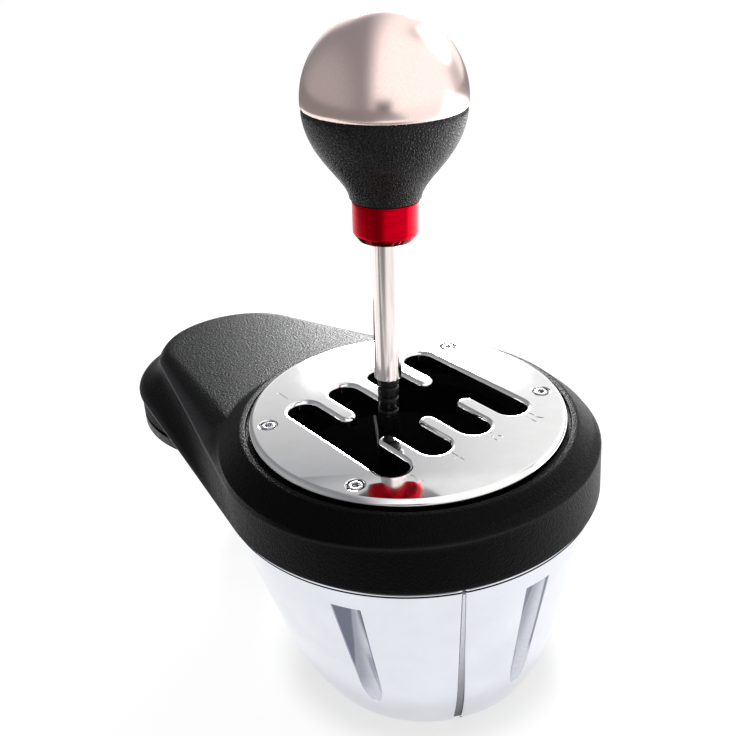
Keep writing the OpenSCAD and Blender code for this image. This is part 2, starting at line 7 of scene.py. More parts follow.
import logging
import math
from collections.abc import Sequence
from dataclasses import dataclass
from enum import Enum

import bpy
from mathutils import Matrix, Vector


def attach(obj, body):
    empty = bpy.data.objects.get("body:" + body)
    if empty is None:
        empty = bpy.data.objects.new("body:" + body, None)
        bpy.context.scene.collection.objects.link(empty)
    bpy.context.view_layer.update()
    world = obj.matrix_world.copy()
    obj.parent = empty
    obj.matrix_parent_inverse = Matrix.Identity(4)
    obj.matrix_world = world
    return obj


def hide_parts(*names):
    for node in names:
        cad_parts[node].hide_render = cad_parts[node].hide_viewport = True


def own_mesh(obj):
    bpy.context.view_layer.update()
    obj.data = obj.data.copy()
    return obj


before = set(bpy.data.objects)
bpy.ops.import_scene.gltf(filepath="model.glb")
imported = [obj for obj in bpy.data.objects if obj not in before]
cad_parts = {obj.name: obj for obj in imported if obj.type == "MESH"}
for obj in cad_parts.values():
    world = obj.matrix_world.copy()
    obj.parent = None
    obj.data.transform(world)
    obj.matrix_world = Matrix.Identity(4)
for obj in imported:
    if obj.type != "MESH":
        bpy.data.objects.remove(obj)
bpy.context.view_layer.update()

MM = 0.001
# Distance under which two points are one
MERGE = 0.002 * MM
# Nearly all noise lies between these values
NOISE_SPAN = (0.32, 0.68)
# Directions as the camera has them: to its right, towards it, and up
RIGHT, NEAR, UP = (0.791, -0.612, 0.0), (-0.612, -0.791, 0.0), (0.0, 0.0, 1.0)
# To the right and a fifth as far towards the camera
RIGHT_NEAR = (0.6686, -0.7702, 0.0)
LOG = logging.getLogger("gear_shifter")


class Body(Enum):
    """Bodies that carry new pieces."""

    BASE = "base"
    LEVER = "lever"
    SCREW = "clamp_screw"
    JAW = "jaw"


class Part(Enum):
    """Stretches of a tear-shaped outline."""

    RING = "ring"
    SIDE = "side"
    END = "end"


# Materials

def linear(code: str) -> tuple[float, float, float, float]:
    """Turns an sRGB hex code into a linear colour.

    Args:
        code: A hash and six hex digits.

    Returns:
        Red, green, blue and alpha.
    """
    parts = (int(code[i:i + 2], 16) / 255 for i in (1, 3, 5))
    red, green, blue = (p / 12.92 if p <= 0.04045 else ((p + 0.055) / 1.055) ** 2.4 for p in parts)
    return red, green, blue, 1.0


def add_node(tree: bpy.types.NodeTree, kind: str, inputs: dict | None = None, **options) -> bpy.types.Node:
    """Adds one shader node.

    Args:
        tree: Node tree that takes it.
        kind: Type name of the node.
        inputs: Values, or sockets to link, by input name or number.
        **options: Settings of the node itself.

    Returns:
        The new node.
    """
    node = tree.nodes.new(kind)
    for name, value in options.items():
        setattr(node, name, value)
    for key, value in (inputs or {}).items():
        if isinstance(value, bpy.types.NodeSocket):
            tree.links.new(value, node.inputs[key])
        else:
            node.inputs[key].default_value = value
    return node


@dataclass(frozen=True)
class Finish:
    """A surface whose colour, gloss and relief run with a fine grain.

    Attributes:
        name: Common name of the material and how its surface was made.
        colour: Colour on the heights of the grain.
        shade: Colour in its hollows.
        gloss: Roughness on the heights and in the hollows.
        grain: Distance between grains.
        relief: Height of the grains.
        metallic: 1 for bare metal.
        stretch: Scale of the grain along each axis; a small value draws it out.
        specular: Strength of the reflection of a material that is no metal.
    """

    name: str
    colour: str
    shade: str
    gloss: tuple[float, float]
    grain: float
    relief: float = 0.0
    metallic: float = 0.0
    stretch: tuple[float, float, float] = (1.0, 1.0, 1.0)
    specular: float = 0.5

    def material(self) -> bpy.types.Material:
        """Builds the node material on its first use.

        Returns:
            The one material of this finish.
        """
        made = bpy.data.materials.get(self.name)
        if made is None:
            made = bpy.data.materials.new(self.name)
            made.use_nodes = True
            tree = made.node_tree
            tree.nodes.clear()
            place = add_node(tree, "ShaderNodeTexCoord").outputs["Object"]
            grain = self.pattern(tree, place)
            colour = self.paint(tree, grain)
            gloss = add_node(tree, "ShaderNodeMapRange",
                             {"Value": grain, "To Min": self.gloss[1], "To Max": self.gloss[0]})
            inputs = {"Base Color": colour, "Roughness": gloss.outputs[0], "Metallic": self.metallic,
                      "Specular IOR Level": self.specular}
            relief = self.normal(tree, place, grain)
            if relief is not None:
                inputs["Normal"] = relief
            shader = add_node(tree, "ShaderNodeBsdfPrincipled", inputs)
            add_node(tree, "ShaderNodeOutputMaterial", {"Surface": shader.outputs[0]})
        return made

    def pattern(self, tree: bpy.types.NodeTree, place: bpy.types.NodeSocket) -> bpy.types.NodeSocket:
        """Draws the grain.

        Args:
            tree: Node tree of the material.
            place: Object coordinates.

        Returns:
            Height of the grain from 0 to 1.
        """
        drawn = add_node(tree, "ShaderNodeMapping", {"Vector": place, "Scale": self.stretch})
        noise = add_node(tree, "ShaderNodeTexNoise",
                         {"Vector": drawn.outputs[0], "Scale": 1 / (self.grain * MM), "Detail": 3.0})
        return add_node(tree, "ShaderNodeMapRange", {"Value": noise.outputs["Fac"], "From Min": NOISE_SPAN[0],
                                                     "From Max": NOISE_SPAN[1]}).outputs[0]

    def paint(self, tree: bpy.types.NodeTree, grain: bpy.types.NodeSocket) -> bpy.types.NodeSocket:
        """Colours the grain.

        Args:
            tree: Node tree of the material.
            grain: Height of the grain.

        Returns:
            The colour.
        """
        return add_node(tree, "ShaderNodeMix", {0: grain, 6: linear(self.shade), 7: linear(self.colour)},
                        data_type="RGBA").outputs[2]

    def normal(self, tree: bpy.types.NodeTree, place: bpy.types.NodeSocket,
               grain: bpy.types.NodeSocket) -> bpy.types.NodeSocket | None:
        """Turns the grain into relief.

        Args:
            tree: Node tree of the material.
            place: Object coordinates; not used here.
            grain: Height of the grain.

        Returns:
            The bent normal, or nothing where the surface is smooth.
        """
        if self.relief == 0:
            return None
        return add_node(tree, "ShaderNodeBump", {"Height": grain, "Distance": self.relief * MM}).outputs[0]


@dataclass(frozen=True)
class Leather(Finish):
    """Leather whose pebbles stand between fine creases.

    Attributes:
        wander: How far the creases stray.
    """

    wander: float = 0.7

    def pattern(self, tree: bpy.types.NodeTree, place: bpy.types.NodeSocket) -> bpy.types.NodeSocket:
        """Draws pebbles.

        Args:
            tree: Node tree of the material.
            place: Object coordinates.

        Returns:
            Height of the pebbles from 0 to 1.
        """
        wander = add_node(tree, "ShaderNodeTexNoise", {"Vector": place, "Scale": 0.6 / (self.grain * MM)})
        bent = add_node(tree, "ShaderNodeMix", {0: self.wander * MM, 4: place, 5: wander.outputs["Color"]},
                        data_type="VECTOR")
        cells = add_node(tree, "ShaderNodeTexVoronoi",
                         {"Vector": bent.outputs[1], "Scale": 1 / (self.grain * MM)},
                         feature="DISTANCE_TO_EDGE")
        return add_node(tree, "ShaderNodeMapRange", {"Value": cells.outputs["Distance"], "From Max": 0.3},
                        interpolation_type="SMOOTHSTEP").outputs[0]


@dataclass(frozen=True)
class PaintedShade(Finish):
    """Metal in a hollow whose colour carries painted shade from the painted attribute of the piece."""

    def pattern(self, tree: bpy.types.NodeTree, place: bpy.types.NodeSocket) -> bpy.types.NodeSocket:
        """Reads the painted shade of the hollow.

        Args:
            tree: Node tree of the material.
            place: Object coordinates.

        Returns:
            1 at the rim of the hollow, 0 where the painted shade is darkest.
        """
        painted_light_at = add_node(tree, "ShaderNodeAttribute", attribute_name="open").outputs["Fac"]
        haze = Finish.pattern(self, tree, place)
        haze = add_node(tree, "ShaderNodeMapRange", {"Value": haze, "To Min": 0.9, "To Max": 1.0}).outputs[0]
        return add_node(tree, "ShaderNodeMath", {0: painted_light_at, 1: haze}, operation="MULTIPLY").outputs[0]


@dataclass(frozen=True)
class RubbedWithHighlight(Finish):
    """Grained plastic whose edges are rubbed smooth and carry a pale painted highlight where the piece
    carries the attribute for rubbing and highlight.

    Attributes:
        bare: Colour of a rubbed edge with its painted highlight.
    """

    bare: str = "#a8a8ac"

    def paint(self, tree: bpy.types.NodeTree, grain: bpy.types.NodeSocket) -> bpy.types.NodeSocket:
        """Colours the grain and paints a pale highlight on the rubbed edges.

        Args:
            tree: Node tree of the material.
            grain: Height of the grain.

        Returns:
            The colour.
        """
        rubbed_highlight = add_node(tree, "ShaderNodeAttribute", attribute_name="wear_and_highlight").outputs["Fac"]
        moulded = Finish.paint(self, tree, grain)
        return add_node(tree, "ShaderNodeMix", {0: rubbed_highlight, 6: moulded, 7: linear(self.bare)},
                        data_type="RGBA").outputs[2]

    def pattern(self, tree: bpy.types.NodeTree, place: bpy.types.NodeSocket) -> bpy.types.NodeSocket:
        """Draws the grain and flattens it on rubbed edges.

        Args:
            tree: Node tree of the material.
            place: Object coordinates.

        Returns:
            Height of the grain from 0 to 1.
        """
        grain = Finish.pattern(self, tree, place)
        rubbed_highlight = add_node(tree, "ShaderNodeAttribute", attribute_name="wear_and_highlight").outputs["Fac"]
        return add_node(tree, "ShaderNodeMath", {0: grain, 1: rubbed_highlight}, operation="MAXIMUM").outputs[0]


@dataclass(frozen=True)
class Buffed(Finish):
    """Polished plate whose front the mop has rolled off.

    Attributes:
        front: Direction of the front.
        flat_to: Distance from the middle that stays flat.
        roll: Width over which the surface bends.
        slope: Slope of the front beyond it.
    """

    front: tuple[float, float, float] = NEAR
    flat_to: float = 38.0
    roll: float = 6.0
    slope: float = 0.185

    def normal(self, tree: bpy.types.NodeTree, place: bpy.types.NodeSocket,
               grain: bpy.types.NodeSocket) -> bpy.types.NodeSocket | None:
        """Bends the surface down towards its front.

        Args:
            tree: Node tree of the material.
            place: Object coordinates.
            grain: Height of the grain; not used here.

        Returns:
            The bent normal.
        """
        ahead = add_node(tree, "ShaderNodeVectorMath", {0: place, 1: self.front}, operation="DOT_PRODUCT")
        out = add_node(tree, "ShaderNodeMath", {0: ahead.outputs["Value"], 1: self.flat_to * MM},
                       operation="SUBTRACT").outputs[0]
        bend = add_node(tree, "ShaderNodeClamp", {0: out, 1: 0.0, 2: self.roll * MM}).outputs[0]
        arc = add_node(tree, "ShaderNodeMath", {0: bend, 1: bend}, operation="MULTIPLY").outputs[0]
        arc = add_node(tree, "ShaderNodeMath", {0: arc, 1: 2 * self.roll * MM}, operation="DIVIDE").outputs[0]
        rest = add_node(tree, "ShaderNodeMath", {0: out, 1: bend}, operation="SUBTRACT").outputs[0]
        rest = add_node(tree, "ShaderNodeMath", {0: rest, 1: 0.0}, operation="MAXIMUM").outputs[0]
        fall = add_node(tree, "ShaderNodeMath", {0: arc, 1: rest}, operation="ADD").outputs[0]
        height = add_node(tree, "ShaderNodeMath", {0: fall, 1: -self.slope}, operation="MULTIPLY").outputs[0]
        return add_node(tree, "ShaderNodeBump", {"Height": height, "Distance": 1.0}).outputs[0]


# Spark-eroded mould: deep black between its points, shiny on rubbed edges, with a pale painted highlight
# along the rim and the crease; grain drawn coarser, to show
GRAINED_ABS = RubbedWithHighlight("grained black ABS", "#060607", "#020203", (0.33, 0.46), 0.75, 0.1, specular=0.055)
# Moulded in a plain tool: smoother and slightly glossier than the cover
PLAIN_ABS = Finish("smooth black ABS", "#0d0d0e", "#070708", (0.35, 0.5), 1.4, 0.01, specular=0.3)
# Bright plating over a moulded shell: mirror-like, with the faintest clouding
BRIGHT_PLATE = Finish("bright chrome plate", "#e8eaf1", "#e2e4ec", (0.05, 0.065), 14.0, metallic=1.0)
# Plating over a blasted hollow: the same metal with a soft grey haze and painted shade, darkest on the plane
# side of a flute, with a painted shadow along its right rim
SATIN_PLATE_PAINTED_SHADE = PaintedShade("satin chrome plate", "#dfe1ea", "#646879", (0.16, 0.24), 1.2, metallic=1.0)
# Filler in the seam: grey satin plastic with painted shade that darkens it towards the foot, where less light
# comes in
SEAM_PAINTED_SHADE = PaintedShade("grey seam filler", "#eef0f6", "#45444f", (0.45, 0.6), 1.5)
# Rolled steel sheet polished on a mop: a clear mirror, a little rolled off towards its front
POLISHED_STEEL = Buffed("mop-polished steel", "#f1f1f1", "#ecebea", (0.05, 0.07), 6.0, metallic=1.0)
# Turned steel with a rolled thread: a grey metal with fine scratches
SCREW_STEEL = Finish("turned screw steel", "#c4c5c8", "#96979b", (0.18, 0.34), 0.5, 0.003, metallic=1.0)
# Case-hardened and oiled steel inside the housing, almost black
OILED_STEEL = Finish("oiled black steel", "#3a3b3e", "#232426", (0.35, 0.55), 0.8, 0.006, metallic=1.0)
# Milled aluminium with a black anodic skin
BLACK_ANODISED = Finish("black anodised aluminium", "#1d1e20", "#131315", (0.4, 0.55), 0.6, 0.004,
                        metallic=0.6)
# Sintered bronze: warm, dull and pitted
BRONZE = Finish("sintered bronze", "#a98145", "#7d5c2c", (0.4, 0.6), 0.5, 0.01, metallic=1.0)
# Turned nylon: milky and waxy
NYLON = Finish("turned nylon", "#e2dfd4", "#cfcbbd", (0.4, 0.55), 1.0, 0.006)
# Moulded rubber: matt, dusty black
RUBBER = Finish("moulded black rubber", "#151516", "#0c0c0d", (0.7, 0.88), 0.9, 0.03, specular=0.3)
# Solder mask over copper tracks: glossy dark green with lighter lines along the tracks
BOARD = Finish("green solder mask", "#1f6a3b", "#154a29", (0.25, 0.4), 1.1, 0.01, stretch=(1.0, 0.25, 1.0))
# Moulded epoxy: dark grey and matt
CHIP = Finish("moulded epoxy", "#1c1c1e", "#111112", (0.5, 0.65), 0.4, 0.004)
# Black oxide on turned steel: satin black with faint rings from the lathe, drawn coarser, to show
BLACK_OXIDE = Finish("black oxide steel", "#060607", "#030303", (0.25, 0.36), 0.5, 0.004,
                     stretch=(0.05, 0.05, 1.0), specular=0.2)
# Drawn tube, chromed: a clear mirror with hair-fine draw lines along it, drawn coarser, to show
CHROME_TUBE = Finish("chromed tube", "#fff8f6", "#e6dad8", (0.08, 0.16), 0.9, metallic=1.0,
                     stretch=(1.0, 1.0, 0.04))
# Anodised over turned aluminium: a deep red metal with fine rings, drawn coarser, to show
RED_ANODISED = Finish("red anodised aluminium", "#cb001c", "#b30018", (0.14, 0.22), 0.35, 0.001, metallic=1.0,
                      stretch=(0.05, 0.05, 1.0))
# Cast, blasted and plated: a warm grey metal with a soft sheen, its haze drawn coarser, to show
SATIN_NICKEL = Finish("satin nickel", "#ffe6df", "#fbe1da", (0.2, 0.23), 0.6, metallic=1.0)
# Embossed leather: pebbles with dark creases and a greasy shine on their crowns
BLACK_LEATHER = Leather("embossed black leather", "#050505", "#020202", (0.22, 0.42), 0.9, 0.14,
                        specular=0.23)
# Spring wire: bright drawn steel
SPRING_WIRE = Finish("drawn spring wire", "#b6b8bb", "#8d8f93", (0.25, 0.4), 0.4, 0.004, metallic=1.0)


# Work at the bench

def wield(obj: bpy.types.Object) -> None:
    """Makes one object the only selected and the active one.

    Args:
        obj: The object.
    """
    bpy.ops.object.select_all(action="DESELECT")
    obj.select_set(True)
    bpy.context.view_layer.objects.active = obj


def settle(name: str) -> bpy.types.Object:
    """Names the object that was just added and moves its place into its mesh.

    Args:
        name: Name of the piece.

    Returns:
        The object.
    """
    obj = bpy.context.object
    obj.name = obj.data.name = name
    bpy.ops.object.transform_apply(location=True, rotation=True, scale=True)
    return obj


def close_up(obj: bpy.types.Object, near: float = MERGE) -> bpy.types.Object:
    """Merges the doubled points of a piece and turns its faces outwards.

    Args:
        obj: The piece.
        near: Distance in metres under which two points are one.

    Returns:
        The same piece.
    """
    wield(obj)
    bpy.ops.object.mode_set(mode="EDIT")
    bpy.ops.mesh.select_all(action="SELECT")
    bpy.ops.mesh.remove_doubles(threshold=near)
    bpy.ops.mesh.normals_make_consistent(inside=False)
    bpy.ops.object.mode_set(mode="OBJECT")
    return obj


def apply(obj: bpy.types.Object, kind: str, **settings) -> None:
    """Adds a modifier to a piece and applies it.

    Args:
        obj: The piece.
        kind: Type of the modifier.
        **settings: Its settings.
    """
    wield(obj)
    modifier = obj.modifiers.new(kind.lower(), kind)
    for key, value in settings.items():
        setattr(modifier, key, value)
    bpy.ops.object.modifier_apply(modifier=modifier.name)


def ease(obj: bpy.types.Object, width: float = 0.0, angle: float = 35.0,
         even: bool = True) -> bpy.types.Object:
    """Rounds the sharp edges of a piece and smooths its faces.

    Args:
        obj: The piece.
        width: Width of the rounding.
        angle: Angle in degrees above which an edge stays sharp.
        even: Whether large faces keep their own direction.

    Returns:
        The same piece.
    """
    if width > 0:
        apply(obj, "BEVEL", width=width * MM, segments=3, limit_method="ANGLE", angle_limit=math.radians(28))
    wield(obj)
    bpy.ops.object.shade_smooth_by_angle(angle=math.radians(angle))
    if even:
        apply(obj, "WEIGHTED_NORMAL", keep_sharp=True)
    return obj


def sheet(name: str, rows: Sequence[Sequence[Vector]]) -> bpy.types.Object:
    """Adds a grid and moves each of its points to its place on a surface.

    Args:
        name: Name of the piece.
        rows: The places, row by row; rows that meet themselves or each other are closed later.

    Returns:
        The piece.
    """
    bpy.ops.object.select_all(action="DESELECT")
    bpy.ops.mesh.primitive_grid_add(x_subdivisions=len(rows[0]) - 1, y_subdivisions=len(rows) - 1, size=MM)
    obj = settle(name)
    places = [value * MM for row in rows for point in row for value in point]
    obj.data.vertices.foreach_set("co", places)
    obj.data.update()
    return obj


def spun(name: str, profile: Sequence[Sequence[float]], steps: int) -> bpy.types.Object:
    """Spins a profile once round the upright axis of the frame.

    Args:
        name: Name of the piece.
        profile: Radius and height of each point; its ends lie on the axis.
        steps: Number of steps in the turn.

    Returns:
        The piece.
    """
    mesh = bpy.data.meshes.new(name)
    points = [(point[0] * MM, 0.0, point[1] * MM) for point in profile]
    mesh.from_pydata(points, [(i, i + 1) for i in range(len(points) - 1)], [])
    obj = bpy.data.objects.new(name, mesh)
    bpy.context.collection.objects.link(obj)
    wield(obj)
    bpy.ops.object.mode_set(mode="EDIT")
    bpy.ops.mesh.select_all(action="SELECT")
    bpy.ops.mesh.spin(steps=steps, angle=2 * math.pi, center=(0, 0, 0), axis=(0, 0, 1))
    bpy.ops.object.mode_set(mode="OBJECT")
    return close_up(obj)


def rounded(corners: Sequence[Sequence[float]], steps: int = 5) -> list[Vector]:
    """Rounds the corners of a line.

    Args:
        corners: Points, each with the length that its rounding takes of its sides as last value.
        steps: Number of steps in each rounding.

    Returns:
        The points of the rounded line.
    """
    points = [Vector(corner[:-1]) for corner in corners]
    line: list[Vector] = []
    for i, corner in enumerate(corners):
        here, taken = points[i], corner[-1]
        if taken == 0 or i in (0, len(corners) - 1):
            line.append(here)
            continue
        back, on = points[i - 1] - here, points[i + 1] - here
        first = here + back.normalized() * min(taken, 0.49 * back.length)
        last = here + on.normalized() * min(taken, 0.49 * on.length)
        for k in range(steps + 1):
            t = k / steps
            line.append(first * (1 - t) ** 2 + here * (2 * t * (1 - t)) + last * t ** 2)
    return line


def cut(obj: bpy.types.Object, tool: bpy.types.Object, operation: str = "DIFFERENCE") -> None:
    """Cuts a piece with a tool and throws the tool away.

    Args:
        obj: The piece.
        tool: The tool.
        operation: Kind of cut.
    """
    apply(obj, "BOOLEAN", object=tool, operation=operation, solver="EXACT")
    bpy.data.objects.remove(tool)


def drum(name: str, radius: float, low: float, high: float, at: tuple[float, float] = (0.0, 0.0),
         sides: int = 192) -> bpy.types.Object:
    """Adds an upright cylinder.

    Args:
        name: Name of the piece.
        radius: Its radius.
        low: Height of its bottom.
        high: Height of its top.
        at: Place of its axis.
        sides: Number of its sides.

    Returns:
        The piece.
    """
    bpy.ops.object.select_all(action="DESELECT")
    bpy.ops.mesh.primitive_cylinder_add(vertices=sides, radius=radius * MM, depth=(high - low) * MM,
                                        location=(at[0] * MM, at[1] * MM, (low + high) / 2 * MM))
    return settle(name)


def block(name: str, low: Sequence[float], high: Sequence[float]) -> bpy.types.Object:
    """Adds a box between two corners.

    Args:
        name: Name of the piece.
        low: Lowest corner.
        high: Highest corner.

    Returns:
        The piece.
    """
    bpy.ops.object.select_all(action="DESELECT")
    a, b = Vector(low) * MM, Vector(high) * MM
    bpy.ops.mesh.primitive_cube_add(size=1, location=(a + b) / 2, scale=b - a)
    return settle(name)


def copy_node(node: str, name: str) -> bpy.types.Object:
    """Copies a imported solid's mesh and merges its loose triangles.

    Args:
        node: Name of the solid.
        name: Name of the piece.

    Returns:
        The piece.
    """
    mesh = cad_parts[node].data.copy()
    mesh.materials.clear()
    obj = bpy.data.objects.new(name, mesh)
    bpy.context.collection.objects.link(obj)
    wield(obj)
    bpy.ops.object.mode_set(mode="EDIT")
    bpy.ops.mesh.select_all(action="SELECT")
    bpy.ops.mesh.remove_doubles(threshold=MERGE)
    bpy.ops.mesh.dissolve_limited(angle_limit=math.radians(0.5))
    bpy.ops.object.mode_set(mode="OBJECT")
    mesh.name = name
    return obj


def dress(obj: bpy.types.Object, finishes: Finish | Sequence[Finish], body: Body, slot: str,
          *nodes: str) -> None:
    """Gives a piece its finish, its body and the solids that it stands for.

    Args:
        obj: The piece.
        finishes: Its finish, or several in the order of its material numbers.
        body: Body that carries it.
        slot: Material slot of the record; not used.
        *nodes: Solids that it replaces.
    """
    slots = obj.data.materials
    for k, finish in enumerate([finishes] if isinstance(finishes, Finish) else finishes):
        if k < len(slots):
            slots[k] = finish.material()
        else:
            slots.append(finish.material())
    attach(obj, body.value)
    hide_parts(*nodes)
    LOG.info("%s: %d faces on %s", obj.name, len(obj.data.polygons), body.value)


def ramp(low: float, high: float, value: float) -> float:
    """Rises smoothly from 0 at low to 1 at high."""
    t = min(1.0, max(0.0, (value - low) / (high - low)))
    return t * t * (3 - 2 * t)


# Sub-assemblies

# Place round the bowl: angle, share of a flute's half width or nothing, and distance in from the seam
Station = tuple[float, float | None, float]


@dataclass(frozen=True)
class TearLine:
    """Outline round the gate's ring and the tail's end, with straight sides between them.

    Attributes:
        ring: Radius round the gate.
        end: Radius of the tail's end.
        end_y: Centre of the tail's end.
        height: Height at the gate's middle.
        fall: How far it falls for each millimetre along the tail.
    """

    ring: float
    end: float
    end_y: float
    height: float
    fall: float = 0.0

    @property
    def lean(self) -> float:
        """Angle between a straight side and the tail's axis."""
        return math.asin((self.ring - self.end) / self.end_y)

    def outward(self, part: Part, share: float) -> Vector:
        """Direction out of the outline's right half.

        Args:
            part: Stretch of the outline.
            share: Place along it from 0 to 1.

        Returns:
            A level unit vector.
        """
        turn = {Part.RING: -math.pi / 2 + share * (math.pi / 2 + self.lean), Part.SIDE: self.lean,
                Part.END: self.lean + share * (math.pi / 2 - self.lean)}[part]
        return Vector((math.cos(turn), math.sin(turn), 0.0))

    def spot(self, part: Part, share: float, inset: float = 0.0, drop: float = 0.0) -> Vector:
        """Point of the outline's right half.

        Args:
            part: Stretch of the outline.
            share: Place along it from 0 to 1.
            inset: How far it is moved in.
            drop: How far it is moved down.

        Returns:
            The point.
        """
        out = self.outward(part, share)
        far = Vector((0.0, self.end_y, 0.0))
        ring, end = out * (self.ring - inset), far + out * (self.end - inset)
        point = {Part.RING: ring, Part.SIDE: ring.lerp(end, share), Part.END: end}[part]
        return Vector((point.x, point.y, self.height - self.fall * point.y - drop))


@dataclass
class TopCover:
    """Black cover: a ring round the gate and a long tail behind it."""

    rim: TearLine = TearLine(66.0, 48.1, 98.4, 75.5)
    crease: TearLine = TearLine(65.4, 34.0, 108.0, 89.6, 0.055)
    flat: TearLine = TearLine(51.0, 29.0, 111.7, 95.8, 0.078)
    cone_r: float = 64.9
    cone_z: float = 92.0
    lip_r: float = 57.5
    lip_z: float = 98.5
    recess_r: float = 55.3
    recess_z: float = 96.8
    seat_r: float = 44.0
    seat_under: float = 92.6
    wall: float = 3.0
    scoop: float = 2.6
    shoulder: float = 6.0
    flat_from: float = 0.367
    back_turn: float = 49.6
    foot_rise: float = 3.0
    under_edge: tuple[float, float, float] = (53.0, 58.5, 88.5)
    under_top: float = 90.0
    crease_drop: float = 1.5
    # Rubbing with a pale painted highlight: how far it reaches from the rim and the crease, its share at the
    # crease and on the ring
    wear_highlight_reach: tuple[float, float] = (0.2, 0.8)
    crease_wear_highlight: float = 0.25
    ring_wear_highlight: float = 0.15

    def cone(self, turn: float, z: float) -> Vector:
        """Point of the ring's cone, also below its foot.

        Args:
            turn: Angle from +X in degrees.
            z: Height.

        Returns:
            The point.
        """
        r = self.cone_r - (z - self.cone_z) * (self.cone_r - self.lip_r) / (self.lip_z - self.cone_z)
        return Vector((r * math.cos(math.radians(turn)), r * math.sin(math.radians(turn)), z))

    def upper(self, part: Part, share: float, crease: Vector) -> tuple[Vector, Vector]:
        """Finds where the top of the cover turns.

        Args:
            part: Stretch of the outline.
            share: Place along it.
            crease: The crease there.

        Returns:
            The edge of the tail's flat top, and the foot of the ring's cone.
        """
        turn = math.degrees(math.atan2(crease.y, crease.x))
        if part is Part.RING or share <= self.flat_from and part is Part.SIDE:
            if part is Part.SIDE:
                start = math.degrees(self.crease.lean)
                turn = start + (self.back_turn - start) * share / self.flat_from
            foot = self.cone(turn, self.cone_z + self.foot_rise * max(0.0, -crease.y / self.crease.ring) ** 2)
            return crease.lerp(foot, 0.96), foot
        straight = (1 - self.flat_from) * (self.flat.spot(Part.SIDE, 1) - self.flat.spot(Part.SIDE, 0)).length
        bend = self.flat.end * (math.pi / 2 - self.flat.lean)
        along_side = straight * (share - self.flat_from) / (1 - self.flat_from)
        gone = along_side if part is Part.SIDE else straight + bend * share
        turn = self.back_turn + (90 - self.back_turn) * gone / (straight + bend)
        foot = self.cone(turn, self.cone_z)
        for _ in range(4):
            foot = self.cone(turn, self.flat.height - self.flat.fall * foot.y)
        return self.flat.spot(part, share), foot

    def wear_and_highlight(self, column: Sequence[Vector], part: Part, share: float) -> list[float]:
        """How much each point of a section is rubbed and carries a painted highlight: the rim most, the
        crease less.

        Args:
            column: Points of the section.
            part: Stretch of the outline.
            share: Place along it.

        Returns:
            Wear from 0 to 1.
        """
        crease, rim = self.crease.spot(part, share), self.rim.spot(part, share)
        most = self.ring_wear_highlight if part is Part.RING else 1.0
        rubbed_highlight = []
        for point in column:
            at_rim, at_crease = (1 - ramp(*self.wear_highlight_reach, (point - line).length) for line in (rim, crease))
            rubbed_highlight.append(max(at_rim, self.crease_wear_highlight * at_crease) * most)
        return rubbed_highlight

    def column(self, part: Part, share: float) -> list[Vector]:
        """One section through the cover's wall, from the inside of the rim over the top and back.

        Args:
            part: Stretch of the outline.
            share: Place along it.

        Returns:
            Points of the section.
        """
        rim, crease = self.rim.spot(part, share), self.crease.spot(part, share)
        edge, foot = self.upper(part, share, crease)
        out = self.rim.outward(part, share)
        hollow = self.scoop * {Part.RING: 0.0, Part.SIDE: ramp(0.1, 0.6, share), Part.END: 1.0}[part]
        corners = [(*self.rim.spot(part, share, self.wall), 0.0), (*rim, 0.7)]
        for k in range(1, 8):
            s = k / 8
            corners.append((*(rim.lerp(crease, s) - out * hollow * 4 * s * (1 - s)), 0.0))
        level = Vector((foot.x, foot.y, 0.0)).normalized()

        def ring(radius: float, z: float, cut_back: float = 0.0) -> tuple[float, float, float, float]:
            """Corner on the ring's section at this column."""
            return level.x * radius, level.y * radius, z, cut_back

        corners += [(*crease, 0.6), (*edge, self.shoulder), (*foot, 1.4), ring(self.lip_r, self.lip_z, 0.7),
                    ring(self.recess_r, self.lip_z, 0.4), ring(self.recess_r, self.recess_z),
                    ring(self.seat_r, self.recess_z, 0.4), ring(self.seat_r, self.seat_under),
                    ring(self.under_edge[0], self.seat_under), ring(*self.under_edge[1:])]
        inner = crease.lerp(edge, 0.6) - out * self.wall
        corners += [(inner.x, inner.y, min(inner.z, self.under_top) - self.wall, 0.0),
                    (*self.crease.spot(part, share, self.wall, self.crease_drop), 0.0),
                    (*self.rim.spot(part, share, self.wall), 0.0)]
        return rounded(corners)

    def build(self) -> None:
        """Builds the cover and dresses it."""
        places = [(Part.RING, i / 56) for i in range(56)] + [(Part.SIDE, i / 60) for i in range(60)]
        places += [(Part.END, i / 32) for i in range(33)]
        right = [self.column(part, share) for part, share in places]
        left = [[Vector((-p.x, p.y, p.z)) for p in column] for column in reversed(right)]
        columns = right + left[1:]
        # Rubbing and painted highlight of each point, the left half mirrored
        rubbed = [self.wear_and_highlight(column, *place) for column, place in zip(right, places)]
        rubbed += rubbed[-2::-1]
        cover = sheet("cover_shell", list(zip(*columns)))
        rubbed_highlight = cover.data.attributes.new("wear_and_highlight", "FLOAT", "POINT")
        rubbed_highlight.data.foreach_set("value", [value for row in zip(*rubbed) for value in row])
        close_up(cover)
        ease(cover, angle=32, even=False)
        dress(cover, GRAINED_ABS, Body.BASE, "black_plastic", "top_cover")


